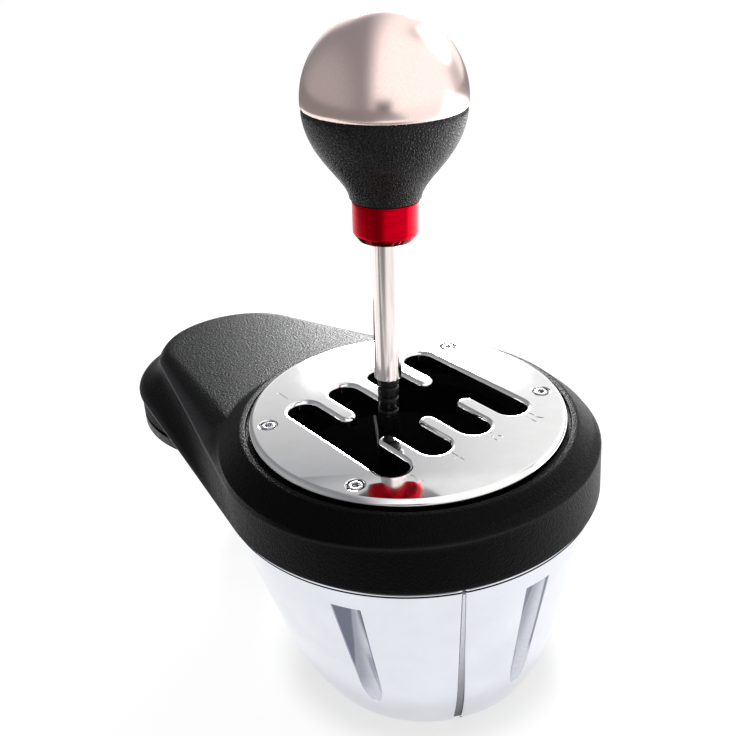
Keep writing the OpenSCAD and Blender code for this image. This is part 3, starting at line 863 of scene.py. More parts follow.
@dataclass
class Bowl:
    """Bright bowl in two halves, with upright flutes and a seam that opens downwards."""

    top: float = 75.2
    top_r: float = 65.3
    taper: float = 0.266
    tuck: float = 4.4
    tuck_h: float = 24.7
    lean: float = 6.6
    wall: float = 3.4
    foot: float = 0.8
    flange_z: float = 5.5
    flange_r: float = 33.6
    seam: float = -26.5
    flutes: tuple[float, ...] = (-2.0, 60.0, 120.0, 240.0, 300.0)
    flute_top: float = 66.2
    flute_foot: float = 15.5
    flute_depth: float = 2.2
    flute_half: float = 3.9
    flute_spread: float = 0.7
    flute_tip: float = 12.0
    reach: float = 7.0
    fold_top: float = 0.2
    fold_foot: float = 0.34
    lip: float = 0.3
    # Painted light in the flutes: the plane side, the round side and how much it brightens, the painted
    # shadow along the right rim, and the tip
    plane_painted_light: float = 0.06
    round_painted_light: float = 0.35
    round_painted_rise: float = 0.55
    rim_painted_shadow: float = 0.85
    tip_painted_light: float = 0.85
    groove: tuple[float, float] = (73.75, 74.45)
    groove_in: float = 0.6
    rib_in: float = 0.9
    rib_deep: float = 4.0
    gap_top: float = 0.4
    gap_more: float = 1.1
    edge_in: float = 2.5
    edge_h: float = 3.2
    socket_low: tuple[float, float, float] = (-15.6, 30.0, 19.4)
    socket_high: tuple[float, float, float] = (-2.4, 60.0, 28.6)

    def radius(self, z: float) -> float:
        """Radius of the wall at a height, without the rounding of its foot."""
        return self.top_r - self.taper * (self.top - z) - self.tuck * max(0.0, 1 - z / self.tuck_h) ** 2

    def rounding(self, z: float) -> float:
        """How far the rounding of the foot takes the wall in at a height."""
        return self.edge_in * max(0.0, 1 - z / self.edge_h) ** 2

    def gap(self, z: float) -> float:
        """Half the width of the open seam at a height."""
        return self.gap_top + self.gap_more * (1 - z / self.top)

    def point(self, r: float, angle: float, z: float) -> Vector:
        """Point at a radius, an angle from the front towards +X, and a height."""
        a = math.radians(angle)
        return Vector((r * math.sin(a), -self.lean * (self.top - z) / self.top - r * math.cos(a), z))

    def half_flute(self, z: float) -> float:
        """Half the width of a flute.

        Args:
            z: Height.

        Returns:
            The angle in degrees.
        """
        tip = min(1.0, max(0.0, (z - self.flute_foot) / self.flute_tip))
        full = self.flute_half + self.flute_spread * z / self.flute_top
        return max(0.12, full * math.sqrt(tip * (2 - tip)))

    def fold(self, z: float) -> float:
        """Place of a flute's fold across it at a height: -1 is its left edge, less is beyond it."""
        rise = (z - self.flute_foot) / (self.flute_top - self.flute_foot)
        return -1 + (1 + self.fold_top) * (rise - self.fold_foot) / (1 - self.fold_foot)

    def hollow(self, share: float, z: float) -> float:
        """Depth of a flute, from 0 to 1: a plane side on the left of its fold and a round one on the right.

        Args:
            share: Place across it from -1 to 1.
            z: Height.

        Returns:
            The share of its full depth.
        """
        fold = max(-0.5, self.fold(z))
        left = self.lip * min(1.0, (share + 1) * 16) + (1 - self.lip) * (share + 1) / (fold + 1)
        folded = left if share < fold else 1 - ((share - fold) / (1 - fold)) ** 2
        even = 1 - share ** 2
        return even + (folded - even) * ramp(-1.2, -0.6, self.fold(z))

    def stations(self, start: float) -> list[Station]:
        """Places round half of the bowl.

        Args:
            start: Angle of the seam that it starts at.

        Returns:
            The stations from this seam to the other.
        """
        marks: list[Station] = []
        inside = [f + turn for f in self.flutes for turn in (0.0, -360.0, 360.0)
                  if start < f + turn < start + 180]
        for f in inside:
            marks += [(f - self.reach, -1.0 - w, 0.0) for w in (1.0, 0.66, 0.33)]
            marks += [(f, -1 + k / 16, 0.0) for k in range(33)]
            marks += [(f + self.reach, 1.0 + w, 0.0) for w in (0.33, 0.66, 1.0)]
        angle = start + 2.0
        plain: list[Station] = []
        while angle < start + 178.5:
            if min(abs(angle - f) for f in inside) > self.reach + 0.8:
                plain.append((angle, None, 0.0))
            angle += 1.5
        spread = marks + plain
        spread.sort(key=lambda m: m[0] if m[1] is None else self.bearing(m, 40.0, start))
        ends = [(start, None, d) for d in (0.0, 0.25, 0.7)]
        return ends + spread + [(start + 180.0, None, -d) for d in (0.7, 0.25, 0.0)]

    def bearing(self, mark: Station, z: float, start: float) -> float:
        """Angle of a station at a height.

        Args:
            mark: The station.
            z: The height.
            start: Angle of the seam that this half starts at.

        Returns:
            The angle in degrees.
        """
        angle, share, inward = mark
        if share is not None:
            half = self.half_flute(z)
            if abs(share) <= 1:
                return angle + share * half
            side = math.copysign(1.0, share)
            middle = angle - side * self.reach
            return middle + side * (half + (self.reach - half) * (abs(share) - 1))
        if angle in (start, start + 180.0):
            side = 1.0 if angle == start else -1.0
            return angle + side * math.degrees((self.gap(z) + abs(inward)) / self.radius(z))
        return angle

    def painted_light_at(self, share: float | None, z: float) -> float:
        """Painted light of a point of the wall: painted shade on the plane side of a flute, a painted shadow
        along its right rim.

        Args:
            share: Place across a flute, or nothing.
            z: Height.

        Returns:
            1 outside the flutes, less inside.
        """
        if share is None or abs(share) >= 1:
            return 1.0
        fold = self.fold(z)
        light = self.round_painted_light + self.round_painted_rise * ramp(0.1, 0.9, (share - fold) / (1 - fold))
        light += (self.plane_painted_light - light) * (1 - ramp(fold - 0.06, fold + 0.06, share))
        light *= 1 - self.rim_painted_shadow * ramp(0.82, 0.9, share) * ramp(28.0, 36.0, z)
        return light + (self.tip_painted_light - light) * (1 - ramp(self.flute_foot, 30.0, z))

    def heights(self) -> list[float]:
        """Heights of the wall's rows: close at the foot, at the tops of the flutes and at the groove.

        Returns:
            The heights from the foot upwards.
        """
        low = [self.foot + 5.2 * (k / 12) ** 1.6 for k in range(12)]
        even = [6.0 + k * 1.3 for k in range(46)]
        return low + even + [65.8, self.flute_top, self.flute_top + 0.12, 67.4, 69.0, 71.0, 73.0, 73.7,
                             *self.groove, 74.5, 74.8]

    def rows(self, marks: Sequence[Station], start: float) -> list[list[Vector]]:
        """Places of the wall: up its outside, over its rim and down its inside.

        Args:
            marks: Stations round this half.
            start: Angle of the seam that it starts at.

        Returns:
            The rows; the last one is the first again.
        """
        rows: list[list[Vector]] = []
        for z in self.heights():
            depth = self.flute_depth * ramp(self.flute_foot - 2, 28.0, z) if z <= self.flute_top else 0.0
            row = []
            for mark in marks:
                hollow = depth * self.hollow(mark[1], z) if mark[1] is not None and abs(mark[1]) < 1 else 0.0
                at_seam = mark[1] is None and mark[0] in (start, start + 180.0)
                turned_in = {0.0: 0.5, 0.25: 0.15}.get(abs(mark[2]), 0.0) if at_seam else 0.0
                grooved = self.groove_in if z in self.groove else 0.0
                r = self.radius(z) - self.rounding(z) - hollow - turned_in - grooved
                row.append(self.point(r, self.bearing(mark, z, start), z))
            rows.append(row)
        inside = [(self.top_r - 0.12, 75.1), (self.top_r - 0.5, self.top)]
        inside += [(self.radius(z) - self.wall, z) for z in (self.top, 60.0, 45.0, 30.0, 15.0, self.flange_z)]
        inside += [(self.flange_r, self.flange_z), (self.flange_r, self.foot)]
        for r, z in inside:
            rows.append([self.point(r, self.bearing(mark, z, start), z) for mark in marks])
        return rows + [rows[0]]

    def tint(self, shell: bpy.types.Object, marks: Sequence[Station]) -> None:
        """Numbers the faces by finish and paints the painted light and shade of each point of the wall.

        Args:
            shell: One half.
            marks: Stations round it.
        """
        heights = self.heights()
        across = len(marks) - 1
        fluted = [i for i in range(across) if marks[i][1] is not None and marks[i + 1][1] is not None
                  and abs(marks[i][1]) <= 1 and abs(marks[i + 1][1]) <= 1]
        for finish in (BRIGHT_PLATE, SATIN_PLATE_PAINTED_SHADE, PLAIN_ABS):
            shell.data.materials.append(finish.material())
        for k, z in enumerate(heights):
            if self.flute_foot < z < self.flute_top - 0.1:
                for i in fluted:
                    shell.data.polygons[k * across + i].material_index = 1
        first = heights.index(self.groove[0]) - 1
        for polygon in (*shell.data.polygons[first * across:(first + 3) * across],
                        *shell.data.polygons[(len(heights) + 1) * across:]):
            polygon.material_index = 2
        # Painted light and shade of the flutes, which the satin plate's colour reads
        lit = shell.data.attributes.new("open", "FLOAT", "POINT")
        outside = [self.painted_light_at(mark[1], z) for z in heights for mark in marks]
        lit.data.foreach_set("value", outside + [1.0] * (len(shell.data.vertices) - len(outside)))

    def half(self, name: str, start: float) -> bpy.types.Object:
        """Builds one half and closes its ends.

        Args:
            name: Name of the piece.
            start: Angle of the seam that it starts at.

        Returns:
            The piece.
        """
        marks = self.stations(start)
        shell = sheet(name, self.rows(marks, start))
        self.tint(shell, marks)
        wield(shell)
        bpy.ops.object.mode_set(mode="EDIT")
        bpy.ops.mesh.select_all(action="SELECT")
        bpy.ops.mesh.remove_doubles(threshold=MERGE)
        bpy.ops.mesh.select_all(action="DESELECT")
        bpy.ops.mesh.select_mode(type="EDGE")
        bpy.ops.mesh.select_non_manifold()
        bpy.ops.mesh.fill_holes(sides=0)
        bpy.ops.mesh.select_all(action="SELECT")
        bpy.ops.mesh.normals_make_consistent(inside=False)
        bpy.ops.object.mode_set(mode="OBJECT")
        return shell

    def rib(self, name: str, start: float) -> bpy.types.Object:
        """Filler that stands in a seam, a little below the wall, with painted shade towards its foot.

        Args:
            name: Name of the piece.
            start: Angle of the seam.

        Returns:
            The piece.
        """
        heights = [1.0] + [1.0 + 1.8 * k for k in range(41)] + [73.0]
        rows: list[list[Vector]] = []
        for k, z in enumerate(heights):
            outer = self.radius(z) - self.rounding(z) - self.rib_in * (1.1 - z / self.top)
            inner, half = outer - self.rib_deep, math.degrees(self.gap(z) * 0.9 / outer)
            ends = k in (0, len(heights) - 1)
            corners = [(outer, -half), (outer, half), (inner, half), (inner, -half), (outer, -half)]
            rows.append([self.point((outer + inner) / 2 if ends else r, start if ends else start + turn, z)
                         for r, turn in corners])
        rib = sheet(name, rows)
        # Painted shade: lighter at the top, darker towards the foot
        lit = rib.data.attributes.new("open", "FLOAT", "POINT")
        lit.data.foreach_set("value", [ramp(-6.0, 76.0, z) for z in heights for _ in range(5)])
        return ease(close_up(rib), angle=30, even=False)

    def build(self) -> None:
        """Builds both halves and the seams' filler, and dresses them."""
        right = self.half("bowl_shell_right", self.seam)
        left = self.half("bowl_shell_left", self.seam + 180)
        cut(left, block("socket_hole", self.socket_low, self.socket_high))
        for shell, node in ((right, "bowl_right"), (left, "bowl_left")):
            ease(shell, angle=24, even=False)
            dress(shell, (BRIGHT_PLATE, SATIN_PLATE_PAINTED_SHADE, PLAIN_ABS), Body.BASE, "bright_bowl", node)
        for name, start in (("seam_rib_front", self.seam), ("seam_rib_back", self.seam + 180)):
            dress(self.rib(name, start), SEAM_PAINTED_SHADE, Body.BASE, "bright_bowl", "seam_strips")


@dataclass
class Gate:
    """Polished gate plate with its slots, numbers and screws."""

    radius: float = 54.0
    top: float = 101.0
    under: float = 96.8
    pitch: float = 17.6
    slot_half: float = 5.55
    reach: float = 28.6
    neutral: float = 7.6
    slot_bevel: float = 1.4
    edge_r: float = 1.9
    screw_at: tuple[float, float] = (41.1, 23.5)
    bore_r: float = 3.05
    bore_z: float = 98.0
    shank_hole_r: float = 1.5
    number_size: float = 8.6
    number_depth: float = 0.2
    numbers: tuple[tuple[float, str], ...] = ((35.8, "1357"), (-33.5, "246R"))

    def slot_loop(self, grow: float, z: float) -> list[Vector]:
        """Outline of the slots, moved out by a little.

        Args:
            grow: How far it is moved out.
            z: Its height.

        Returns:
            Points of the closed outline, the first one repeated at the end.
        """
        half, finger = self.slot_half + grow, self.pitch / 2 - self.slot_half - grow
        end_y, tip_y = self.reach - self.slot_half, self.neutral + self.pitch / 2 - self.slot_half
        upper: list[Vector] = []
        for i, x in enumerate((-1.5, -0.5, 0.5, 1.5)):
            for k in range(25):
                a = math.pi * (1 - k / 24)
                upper.append(Vector((x * self.pitch + half * math.cos(a), end_y + half * math.sin(a), z)))
            if i < 3:
                for k in range(17):
                    a = math.pi * (1 + k / 16)
                    middle = (x + 0.5) * self.pitch
                    upper.append(Vector((middle + finger * math.cos(a), tip_y + finger * math.sin(a), z)))
        loop = upper + [Vector((-p.x, -p.y, p.z)) for p in upper]
        return loop + [loop[0]]

    def circle(self, r: float, z: float, at: tuple[float, float], steps: int) -> list[Vector]:
        """Points of a level circle, the first one repeated at the end."""
        turns = (2 * math.pi * k / steps for k in range(steps + 1))
        return [Vector((at[0] + r * math.cos(turn), at[1] + r * math.sin(turn), z)) for turn in turns]

    def walls(self) -> list[bpy.types.Object]:
        """Builds what stands between the plate's two faces.

        Returns:
            The wall of the slots, the outer edge and the four bores.
        """
        bevel = [(self.slot_bevel * (1 - math.sin(a)), self.slot_bevel * (1 - math.cos(a)))
                 for a in (math.pi / 2 * k / 5 for k in range(6))]
        foot = ((0.0, self.under + 0.5), (0.4, self.under))
        walls = [sheet("slot_wall", [self.slot_loop(grow, self.top - drop) for grow, drop in bevel]
                       + [self.slot_loop(grow, z) for grow, z in foot])]
        edge = [(self.radius - self.edge_r * (1 - math.sin(a)), self.top - self.edge_r * (1 - math.cos(a)))
                for a in (math.pi / 2 * k / 8 for k in range(9))]
        walls.append(sheet("edge_wall", [self.circle(r, z, (0, 0), 240)
                                         for r, z in edge + [(self.radius, self.under)]]))
        for x in (-1, 1):
            for y in (-1, 1):
                at = (x * self.screw_at[0], y * self.screw_at[1])
                rings = [(self.bore_r + 0.35, self.top), (self.bore_r + 0.1, self.top - 0.1),
                         (self.bore_r, self.top - 0.35), (self.bore_r, self.bore_z),
                         (self.shank_hole_r, self.bore_z), (self.shank_hole_r, self.under)]
                walls.append(sheet("bore_wall", [self.circle(r, z, at, 48) for r, z in rings]))
        return walls

    def plate(self) -> bpy.types.Object:
        """Joins the plate's walls and fills its faces between them.

        Returns:
            The piece.
        """
        walls = self.walls()
        bpy.ops.object.select_all(action="DESELECT")
        for wall in walls:
            wall.select_set(True)
        bpy.context.view_layer.objects.active = walls[0]
        bpy.ops.object.join()
        plate = settle("gate_plate_polished")
        wield(plate)
        for level in (self.top, self.under):
            bpy.ops.object.mode_set(mode="EDIT")
            bpy.ops.mesh.select_all(action="SELECT")
            bpy.ops.mesh.remove_doubles(threshold=MERGE)
            bpy.ops.mesh.select_all(action="DESELECT")
            bpy.ops.object.mode_set(mode="OBJECT")
            uses: dict[tuple[int, int], int] = {}
            for polygon in plate.data.polygons:
                for key in polygon.edge_keys:
                    uses[key] = uses.get(key, 0) + 1
            for line in plate.data.edges:
                ends = [plate.data.vertices[v].co.z for v in line.vertices]
                line.select = uses.get(line.key, 0) == 1 and all(abs(z - level * MM) < 1e-6 for z in ends)
            bpy.ops.object.mode_set(mode="EDIT")
            bpy.ops.mesh.select_mode(type="EDGE")
            bpy.ops.mesh.fill(use_beauty=True)
            bpy.ops.object.mode_set(mode="OBJECT")
        return close_up(plate)

    def part_top(self, plate: bpy.types.Object) -> None:
        """Marks where the flat top meets its rounded edges, so that the top mirrors without ripples.

        Args:
            plate: The plate.
        """
        sides: dict[tuple[int, int], set[bool]] = {}
        for polygon in plate.data.polygons:
            for key in polygon.edge_keys:
                sides.setdefault(key, set()).add(polygon.normal.z > 0.9999)
        for line in plate.data.edges:
            if len(sides[line.key]) == 2:
                line.use_edge_sharp = True

    def number(self, mark: str, x: float, y: float) -> bpy.types.Object:
        """Makes a cutter in the shape of a gear's number.

        Args:
            mark: The number.
            x: Place across the gate.
            y: Place along the gate.

        Returns:
            The cutter.
        """
        bpy.ops.object.select_all(action="DESELECT")
        bpy.ops.object.text_add(location=(0, 0, 0))
        words = bpy.context.object
        words.data.body = mark
        words.data.size = self.number_size * MM
        words.data.align_x, words.data.align_y = "CENTER", "CENTER"
        words.data.extrude = self.number_depth * MM
        words.data.resolution_u = 4
        bpy.ops.object.convert(target="MESH")
        words = bpy.context.object
        words.location = (x * MM, y * MM, self.top * MM)
        return close_up(settle("number_" + mark), 0.1 * MERGE)

    def build(self) -> None:
        """Builds the plate, its numbers and its screws, and dresses them."""
        plate = self.plate()
        for y, marks in self.numbers:
            for i, mark in enumerate(marks):
                cut(plate, self.number(mark, (i - 1.5) * self.pitch, y))
        ease(plate, angle=20, even=False)
        self.part_top(plate)
        dress(plate, POLISHED_STEEL, Body.BASE, "polished_gate", "gate_plate")
        first = self.screw()
        for k, (x, y) in enumerate(((-1, -1), (1, -1), (1, 1), (-1, 1))):
            screw = bpy.data.objects.new(f"gate_screw.{k + 1}", first.data.copy())
            bpy.context.collection.objects.link(screw)
            screw.location = (x * self.screw_at[0] * MM, y * self.screw_at[1] * MM, 0.0)
            wield(screw)
            settle(screw.name)
            dress(screw, SCREW_STEEL, Body.BASE, "screw_steel", "gate_plate_screws")
        bpy.data.objects.remove(first)

    def screw(self) -> bpy.types.Object:
        """Models one socket-head screw on the gate's axis.

        Returns:
            The piece.
        """
        profile = rounded([(0.0, 89.0, 0.0), (1.25, 89.0, 0.3), (1.25, self.bore_z, 0.0),
                           (2.35, self.bore_z, 0.15), (2.35, 100.9, 0.5), (1.5, 100.9, 0.15),
                           (1.3, 100.7, 0.0), (0.0, 100.7, 0.0)], 4)
        head = spun("gate_screw", profile, steps=48)
        bpy.ops.object.select_all(action="DESELECT")
        bpy.ops.mesh.primitive_cylinder_add(vertices=6, radius=1.25 * MM, depth=3.4 * MM,
                                            location=(0, 0, 101.2 * MM))
        cut(head, settle("hex"))
        return ease(head, angle=30, even=False)


@dataclass
class Lever:
    """Lever above the gate: black sleeve, chromed tube, red ring, leather grip and metal dome."""

    gate_x: float = -8.1
    gate_z: float = 101.0
    lean: float = 1.8
    sleeve_r: float = 3.5
    sleeve_z: float = 40.0
    grooves: tuple[float, ...] = (104.0, 108.5, 112.5)
    groove_in: float = 0.45
    tube_z: float = 115.8
    tube_r: float = 4.5
    ring_z: tuple[float, float] = (164.6, 177.0)
    ring_r: float = 10.4
    grip_z: float = 177.2
    grip_bow: tuple[tuple[float, float], ...] = ((11.0, 177.2), (11.3, 184.0), (24.2, 191.0))
    dome_r: float = 24.6
    dome_z: float = 206.9
    seam_z: float = 204.9

    def place(self, obj: bpy.types.Object) -> bpy.types.Object:
        """Smooths a piece turned on the upright axis and sets it into the gate with the lever's lean.

        Args:
            obj: The piece.

        Returns:
            The same piece.
        """
        ease(obj, angle=40, even=False)
        bpy.ops.transform.translate(value=(self.gate_x * MM, 0.0, 0.0))
        bpy.ops.transform.rotate(value=-math.radians(self.lean), orient_axis="Y",
                                 center_override=(self.gate_x * MM, 0.0, self.gate_z * MM))
        bpy.ops.object.transform_apply(location=True, rotation=True, scale=True)
        return obj

    def sleeve(self) -> list[Vector]:
        """Profile of the black sleeve with its three grooves.

        Returns:
            Radius and height of its points.
        """
        r, root = self.sleeve_r, self.sleeve_r - self.groove_in
        line = [(0.0, self.sleeve_z, 0.0), (r, self.sleeve_z, 0.4)]
        for z in self.grooves:
            line += [(r, z, 0.15), (root, z + 0.35, 0.1), (root, z + 1.0, 0.1), (r, z + 1.35, 0.15)]
        return rounded(line + [(r, self.tube_z, 0.2), (0.0, self.tube_z, 0.0)], 3)

    def tube(self) -> list[Vector]:
        """Profile of the chromed tube.

        Returns:
            Radius and height of its points.
        """
        r, low, high = self.tube_r, self.tube_z, self.ring_z[1]
        return rounded([(0.0, low, 0.0), (r - 0.6, low, 0.1), (r, low + 0.6, 0.2), (r, low + 1.2, 0.0),
                        (r, high - 0.5, 0.0), (r, high, 0.0), (0.0, high, 0.0)], 3)

    def ring(self) -> list[Vector]:
        """Profile of the red ring.

        Returns:
            Radius and height of its points.
        """
        r, (low, high) = self.ring_r, self.ring_z
        return rounded([(0.0, low, 0.0), (r - 1.6, low, 0.15), (r, low + 2.3, 0.3), (r, low + 3.0, 0.0),
                        (r, high - 1.0, 0.0), (r, high, 0.5), (0.0, high, 0.0)], 4)

    def grip(self) -> list[Vector]:
        """Profile of the leather grip: one bow from the ring to the brim of the dome.

        Returns:
            Radius and height of its points.
        """
        brim = self.seam_z - 0.1
        a, b, c, d = (Vector(bow) for bow in (*self.grip_bow, (24.4, brim)))
        line = [Vector((0.0, self.grip_z)), Vector((10.6, self.grip_z))]
        for k in range(1, 48):
            t, s = k / 48, 1 - k / 48
            line.append(a * s ** 3 + b * (3 * s * s * t) + c * (3 * s * t * t) + d * t ** 3)
        return line + [Vector((24.1, brim)), Vector((23.6, brim)), Vector((0.0, brim))]

    def dome(self) -> list[Vector]:
        """Profile of the metal dome: nearly half a ball over a narrow seam.

        Returns:
            Radius and height of its points.
        """
        foot = math.asin((self.seam_z + 0.15 - self.dome_z) / self.dome_r)
        line = [Vector((0.0, self.seam_z + 0.1)), Vector((23.7, self.seam_z + 0.1)),
                Vector((24.2, self.seam_z + 0.12))]
        for k in range(1, 61):
            turn = foot + (math.pi / 2 - foot) * k / 60
            line.append(Vector((self.dome_r * math.cos(turn), self.dome_z + self.dome_r * math.sin(turn))))
        return line

    def build(self) -> None:
        """Builds the lever's pieces and dresses them."""
        pieces = (("lever_sleeve", self.sleeve(), 64, BLACK_OXIDE, "sleeve_black", "gate_sleeve"),
                  ("lever_chrome", self.tube(), 96, CHROME_TUBE, "chrome_tube", "lever_tube"),
                  ("lever_red_ring", self.ring(), 128, RED_ANODISED, "red_collar", "knob_collar"),
                  ("lever_leather", self.grip(), 160, BLACK_LEATHER, "knob_leather", "knob_grip"),
                  ("lever_dome", self.dome(), 192, SATIN_NICKEL, "satin_nickel", "knob_cap"))
        for name, profile, steps, finish, slot, node in pieces:
            dress(self.place(spun(name, profile, steps)), finish, Body.LEVER, slot, node)


@dataclass
class TailClamp:
    """Desk clamp under the tail: pads, jaw, screw and hand knob."""

    y: float = 98.4
    pad_r: float = 47.0
    clear_r: float = 67.5
    pin_x: float = 22.0
    pin_r: float = 3.15
    lead: float = 4.0
    thread_z: float = 8.0
    thread_rows: int = 236
    thread_step: float = 0.31
    root_r: float = 4.2
    thread_h: float = 0.75
    knob_r: float = 14.0
    knob_z: tuple[float, float] = (7.0, 20.0)
    lobe_r: float = 4.0
    lobe_at: float = 13.0

    def disc(self, name: str, r: float, low: float, high: float, bore: float,
             width: float) -> bpy.types.Object:
        """Round plate with its front cut clear of the bowl.

        Args:
            name: Name of the piece.
            r: Its radius.
            low: Height of its bottom.
            high: Height of its top.
            bore: Radius of its hole for the screw.
            width: Rounding of its edges.

        Returns:
            The piece.
        """
        plate = drum(name, r, low, high, (0.0, self.y))
        cut(plate, drum("bowl_room", self.clear_r + self.pad_r - r, low - 5, high + 5))
        cut(plate, drum("screw_room", bore, low - 5, high + 5, (0.0, self.y), 64))
        for side in (-1, 1):
            cut(plate, drum("pin_room", self.pin_r, low - 5, high + 5, (side * self.pin_x, self.y), 48))
        return ease(plate, width)

    def thread(self) -> bpy.types.Object:
        """Screw with a wound thread.

        Returns:
            The piece.
        """
        rows = []
        for k in range(self.thread_rows):
            z = self.thread_z + k * self.thread_step
            row = []
            for i in range(49):
                turn = 2 * math.pi * i / 48
                wave = abs(((z / self.lead - i / 48) % 1.0) * 2 - 1)
                tip = k in (0, self.thread_rows - 1)
                r = 0.0 if tip else self.root_r + self.thread_h * ramp(0.2, 0.8, wave)
                row.append(Vector((r * math.cos(turn), self.y + r * math.sin(turn), z)))
            rows.append(row)
        return ease(close_up(sheet("clamp_thread", rows)), angle=50, even=False)

    def hand_knob(self) -> bpy.types.Object:
        """Knob with six lobes for the fingers.

        Returns:
            The piece.
        """
        knob = drum("clamp_hand_knob", self.knob_r, *self.knob_z, (0.0, self.y), 96)
        for k in range(6):
            a = math.pi / 3 * k
            at = (self.lobe_at * math.cos(a), self.y + self.lobe_at * math.sin(a))
            cut(knob, drum("lobe", self.lobe_r, *self.knob_z, at, 48), "UNION")
        return ease(knob, 1.2)

    def build(self) -> None:
        """Builds the clamp's pieces and dresses them."""
        tail_pad = self.disc("tail_rubber", self.pad_r, 68.0, 75.5, 9.0, 1.0)
        jaw = self.disc("jaw_plate", self.pad_r, 62.5, 66.5, 5.4, 0.9)
        jaw_pad = self.disc("jaw_rubber", 44.0, 66.5, 67.6, 5.4, 0.3)
        dress(tail_pad, RUBBER, Body.BASE, "rubber", "tail_pad")
        dress(jaw, PLAIN_ABS, Body.JAW, "black_plastic", "clamp_jaw")
        dress(jaw_pad, RUBBER, Body.JAW, "rubber", "jaw_pad")
        dress(self.thread(), SCREW_STEEL, Body.SCREW, "hidden_steel", "clamp_screw")
        dress(self.hand_knob(), PLAIN_ABS, Body.SCREW, "black_plastic", "clamp_knob")


@dataclass
class Foot:
    """Rubber foot, data socket and the springs that centre the lever."""

    lever_x: float = -8.8
    spring_x: float = 14.2
    spring_r: float = 2.4
    wire_r: float = 0.6
    turns: int = 3
    spring_z: tuple[float, float] = (12.3, 21.7)

    def spring(self, name: str, x: float) -> bpy.types.Object:
        """Coil of round wire with closed ends.

        Args:
            name: Name of the piece.
            x: Place of its axis.

        Returns:
            The piece.
        """
        rows = []
        low, high = self.spring_z[0] + self.wire_r, self.spring_z[1] - self.wire_r
        count = 36 * self.turns
        for k in range(count + 1):
            turn = 2 * math.pi * k / 36
            out = Vector((math.cos(turn), math.sin(turn), 0.0))
            middle = Vector((x, 0.0, low + (high - low) * k / count)) + out * self.spring_r
            size = self.wire_r * (0.02 if k in (0, count) else 1.0)
            rows.append([middle + (out * math.cos(a) + Vector((0, 0, 1)) * math.sin(a)) * size
                         for a in (2 * math.pi * i / 12 for i in range(13))])
        return ease(close_up(sheet(name, rows)), angle=60, even=False)

    def build(self) -> None:
        """Builds the small pieces and dresses them."""
        dress(ease(copy_node("base_pad", "foot_rubber"), 0.8), RUBBER, Body.BASE, "rubber", "base_pad")
        dress(ease(copy_node("cable_socket", "data_socket"), 0.35), PLAIN_ABS, Body.BASE, "black_plastic",
              "cable_socket")
        for side, node in ((-1, "centring_spring_left"), (1, "centring_spring_right")):
            name = node.replace("centring_spring", "wire_spring")
            coil = self.spring(name, self.lever_x + side * self.spring_x)
            dress(coil, SPRING_WIRE, Body.BASE, "hidden_steel", node)
            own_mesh(coil)


@dataclass
class Works:
    """Solids as they were packed; those that no new piece replaces are shown like this."""

    def dress(self) -> None:
        """Gives every solid the finish of its slot."""
        finishes = {"black_plastic": PLAIN_ABS, "bright_bowl": BRIGHT_PLATE, "polished_gate": POLISHED_STEEL,
                    "screw_steel": SCREW_STEEL, "hidden_steel": OILED_STEEL,
                    "machined_aluminium": BLACK_ANODISED, "bronze": BRONZE, "nylon": NYLON, "rubber": RUBBER,
                    "circuit_board": BOARD, "chip_black": CHIP,
                    "sleeve_black": BLACK_OXIDE, "chrome_tube": CHROME_TUBE, "red_collar": RED_ANODISED,
                    "knob_leather": BLACK_LEATHER, "satin_nickel": SATIN_NICKEL}
        for name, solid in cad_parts.items():
            for place in solid.material_slots:
                slot = place.material.name.split(".")[0] if place.material else ""
                place.material = finishes.get(slot, OILED_STEEL).material()
            LOG.info("%s has its finish", name)


# Studio

@dataclass(frozen=True)
class Field:
    """Soft-edged field on the floor or in the room.

    Attributes:
        edges: Axis of each edge, where the field begins along it and where it is full.
    """

    edges: tuple[tuple[tuple[float, float, float], float, float], ...]

    def mask(self, tree: bpy.types.NodeTree, place: bpy.types.NodeSocket) -> bpy.types.NodeSocket:
        """Draws the field.

        Args:
            tree: Node tree that takes it.
            place: Place on the floor, or direction in the room.

        Returns:
            1 in the field and 0 beside it.
        """
        shown: float | bpy.types.NodeSocket = 1.0
        for axis, start, full in self.edges:
            along = add_node(tree, "ShaderNodeVectorMath", {0: place, 1: axis}, operation="DOT_PRODUCT")
            step = add_node(tree, "ShaderNodeMapRange", {"Value": along.outputs["Value"], "From Min": start,
                                                         "From Max": full}, interpolation_type="SMOOTHSTEP")
            shown = add_node(tree, "ShaderNodeMath", {0: shown, 1: step.outputs[0]},
                             operation="MULTIPLY").outputs[0]
        return shown


